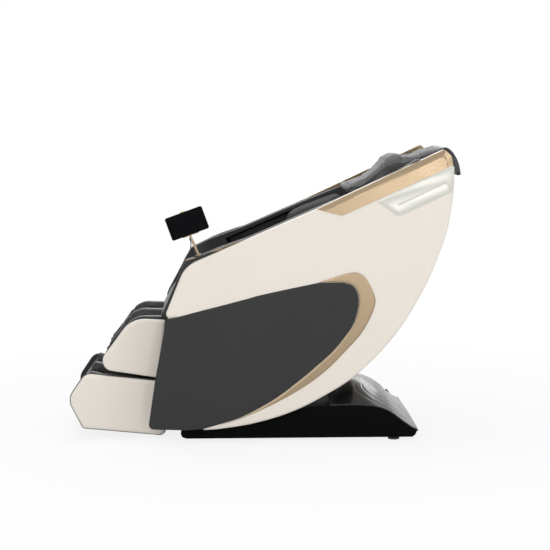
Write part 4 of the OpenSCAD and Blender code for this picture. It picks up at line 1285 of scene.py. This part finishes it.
    def build(self) -> None:
        """Makes the soft pieces."""
        self.leaves()
        leather = Finish.LEATHER
        for cushion in (
            Cushion("seat_cushion", "seat_pad", leather, "capsule", 7, 5, shape=self.seat_shape),
            Cushion("back_pad", "back_cushion", leather, "capsule", 8, 4, cap=7, shape=self.back_shape),
            Cushion("head_pillow", "pillow", Finish.PILLOW, "capsule", 6, 4, cap=9, fill=0.6,
                    shape=self.pillow_shape),
            Cushion("calf_cushion", "calf_pad", leather, "calf_rest", 6, 3, cap=6, shape=self.calf_shape),
            Cushion("foot_cushion", "foot_pad", leather, "foot_rest", 6, 3, cap=6, shape=self.foot_shape),
        ):
            cushion.build()
        for side in Side:
            Cushion(f"shoulder_wing_{side.tag}", f"wing_{side.tag}", leather, "capsule", 5, 3, cap=6,
                    shape=self.wing_shape).build()
            Cushion(f"arm_pad_{side.tag}", f"arm_lining_{side.tag}", leather, "capsule", 5, 2, cap=3).build()


# ---- leg rest ----


@dataclass
class LegRest:
    """Cream side plates of the calf rest and of the foot rest, and the dark edging of the latter."""

    half_w: float = 262.0
    inner: float = 250.0
    edge_w: float = 3.5
    calf: tuple = ((-548, 492, 6), (-686, 500, 110), (-840, 293, 42), (-576, 252, 4))
    foot: tuple = ((-570, 238, 4), (-878, 272, 45), (-950, 165, 60), (-890, 46, 10), (-552, 13, 22))

    @staticmethod
    def halves(ring: np.ndarray) -> tuple[np.ndarray, np.ndarray]:
        """The two boundaries of a plate's outline between its rear end and its front end."""
        along = ring[:, 0] + ring[:, 1] * 0.2
        return split(ring, int(np.argmax(along)), int(np.argmin(along)))

    def plate(self, name: str, corners: tuple, body: str, side: Side, node: str) -> None:
        """One side plate, rounded along its whole edge."""
        first, second = self.halves(rounded(corners, 20))
        plate = Plate(first, second, self.inner, self.half_w, drop=9.0, width=15.0, columns=200, rows=20)
        plate.build(name, Finish.CREAM, body, side, (node,))

    def edging(self, name: str, corners: tuple, body: str, side: Side) -> None:
        """Dark edging that shows as a narrow line round a side plate: the plate's outline moved
        outwards along its normals, well behind the plate's face."""
        ring = rounded(corners, 20)
        run = np.roll(ring, -1, axis=0) - np.roll(ring, 1, axis=0)
        run /= np.maximum(np.linalg.norm(run, axis=1, keepdims=True), 1e-9)
        out = np.stack([-run[:, 1], run[:, 0]], 1)
        out *= np.sign(((ring - ring.mean(0)) * out).sum())
        first, second = self.halves(ring + self.edge_w * out)
        plate = Plate(first, second, self.inner - 8, self.inner + 1, drop=2.0, width=3.0, columns=200, rows=6)
        plate.build(name, Finish.LEATHER, body, side)

    def build(self) -> None:
        """Makes the four side plates and the edging of the lower two."""
        for side in Side:
            self.edging(f"foot_edging_{side.tag}", self.foot, "foot_rest", side)
            self.plate(f"calf_plate_{side.tag}", self.calf, "calf_rest", side, f"calf_side_{side.tag}")
            self.plate(f"foot_plate_{side.tag}", self.foot, "foot_rest", side, f"foot_side_{side.tag}")


# ---- tablet ----


@dataclass
class Tablet:
    """The tablet in its holder on the left arm."""

    centre: tuple = (-457.0, -338.0, 894.0)
    roll: float = 20.0
    width: float = 157.0
    height: float = 95.0
    thick: float = 9.0
    corner: float = 5.0
    screen_rings: tuple = ((0.0, -0.5), (0.96, -0.5), (0.99, -0.3), (1.0, 0.6), (0.0, 0.6))

    def build(self) -> None:
        """Rounds the tablet's body and lays a screen on its face, a little inside its edge."""
        softened("tablet", "tablet_body", Finish.BASE, "holder", 2.0, 3)
        softened("tablet_clamp", "tablet_holder", Finish.GOLD, "holder", 0.8, 2)
        softened("clamp_jaw", "holder_jaw", Finish.GOLD, "jaw", 0.8, 2)
        half_w, half_h = self.width / 2 - self.corner, self.height / 2 - self.corner
        signs = ((-1, -1), (1, -1), (1, 1), (-1, 1))
        ring = rounded([(x * half_w, z * half_h, self.corner) for x, z in signs], 8)
        turn = math.radians(self.roll)
        rings = []
        for scale, y in self.screen_rings:
            flat = ring * scale
            x = flat[:, 0] * math.cos(turn) - flat[:, 1] * math.sin(turn)
            z = flat[:, 0] * math.sin(turn) + flat[:, 1] * math.cos(turn)
            rings.append(np.stack([x, np.full(len(x), y - self.thick), z], 1) + self.centre)
        piece("tablet_screen", np.stack(rings), Finish.SCREEN, "holder")


# ---- the chair ----


@dataclass
class Chair:
    """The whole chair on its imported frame."""

    shell: Shell = field(default_factory=Shell)
    base: Base = field(default_factory=Base)
    soft: SoftParts = field(default_factory=SoftParts)
    legs: LegRest = field(default_factory=LegRest)
    tablet: Tablet = field(default_factory=Tablet)

    def dress_nodes(self) -> None:
        """Gives each node that stays visible the finish of its slot."""
        finishes = {finish.slot: finish for finish in Finish}
        slots = {part["node"]: part["material_slot"] for part in frame["record"]["subparts"]}
        for name, obj in frame["nodes"].items():
            obj.data.materials.clear()
            obj.data.materials.append(finishes[slots[name]].material())
            obj.data.shade_smooth()
            obj.data.set_sharp_from_angle(angle=math.radians(30))

    def build(self) -> None:
        """Builds the parts in order."""
        self.dress_nodes()
        self.shell.build()
        self.base.build()
        self.legs.build()
        self.tablet.build()
        self.soft.build()


def main() -> None:
    """Makes the studio and the chair."""
    logging.basicConfig(level=logging.INFO)
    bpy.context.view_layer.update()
    Studio().build()
    Chair().build()


if __name__ == "__main__":
    main()
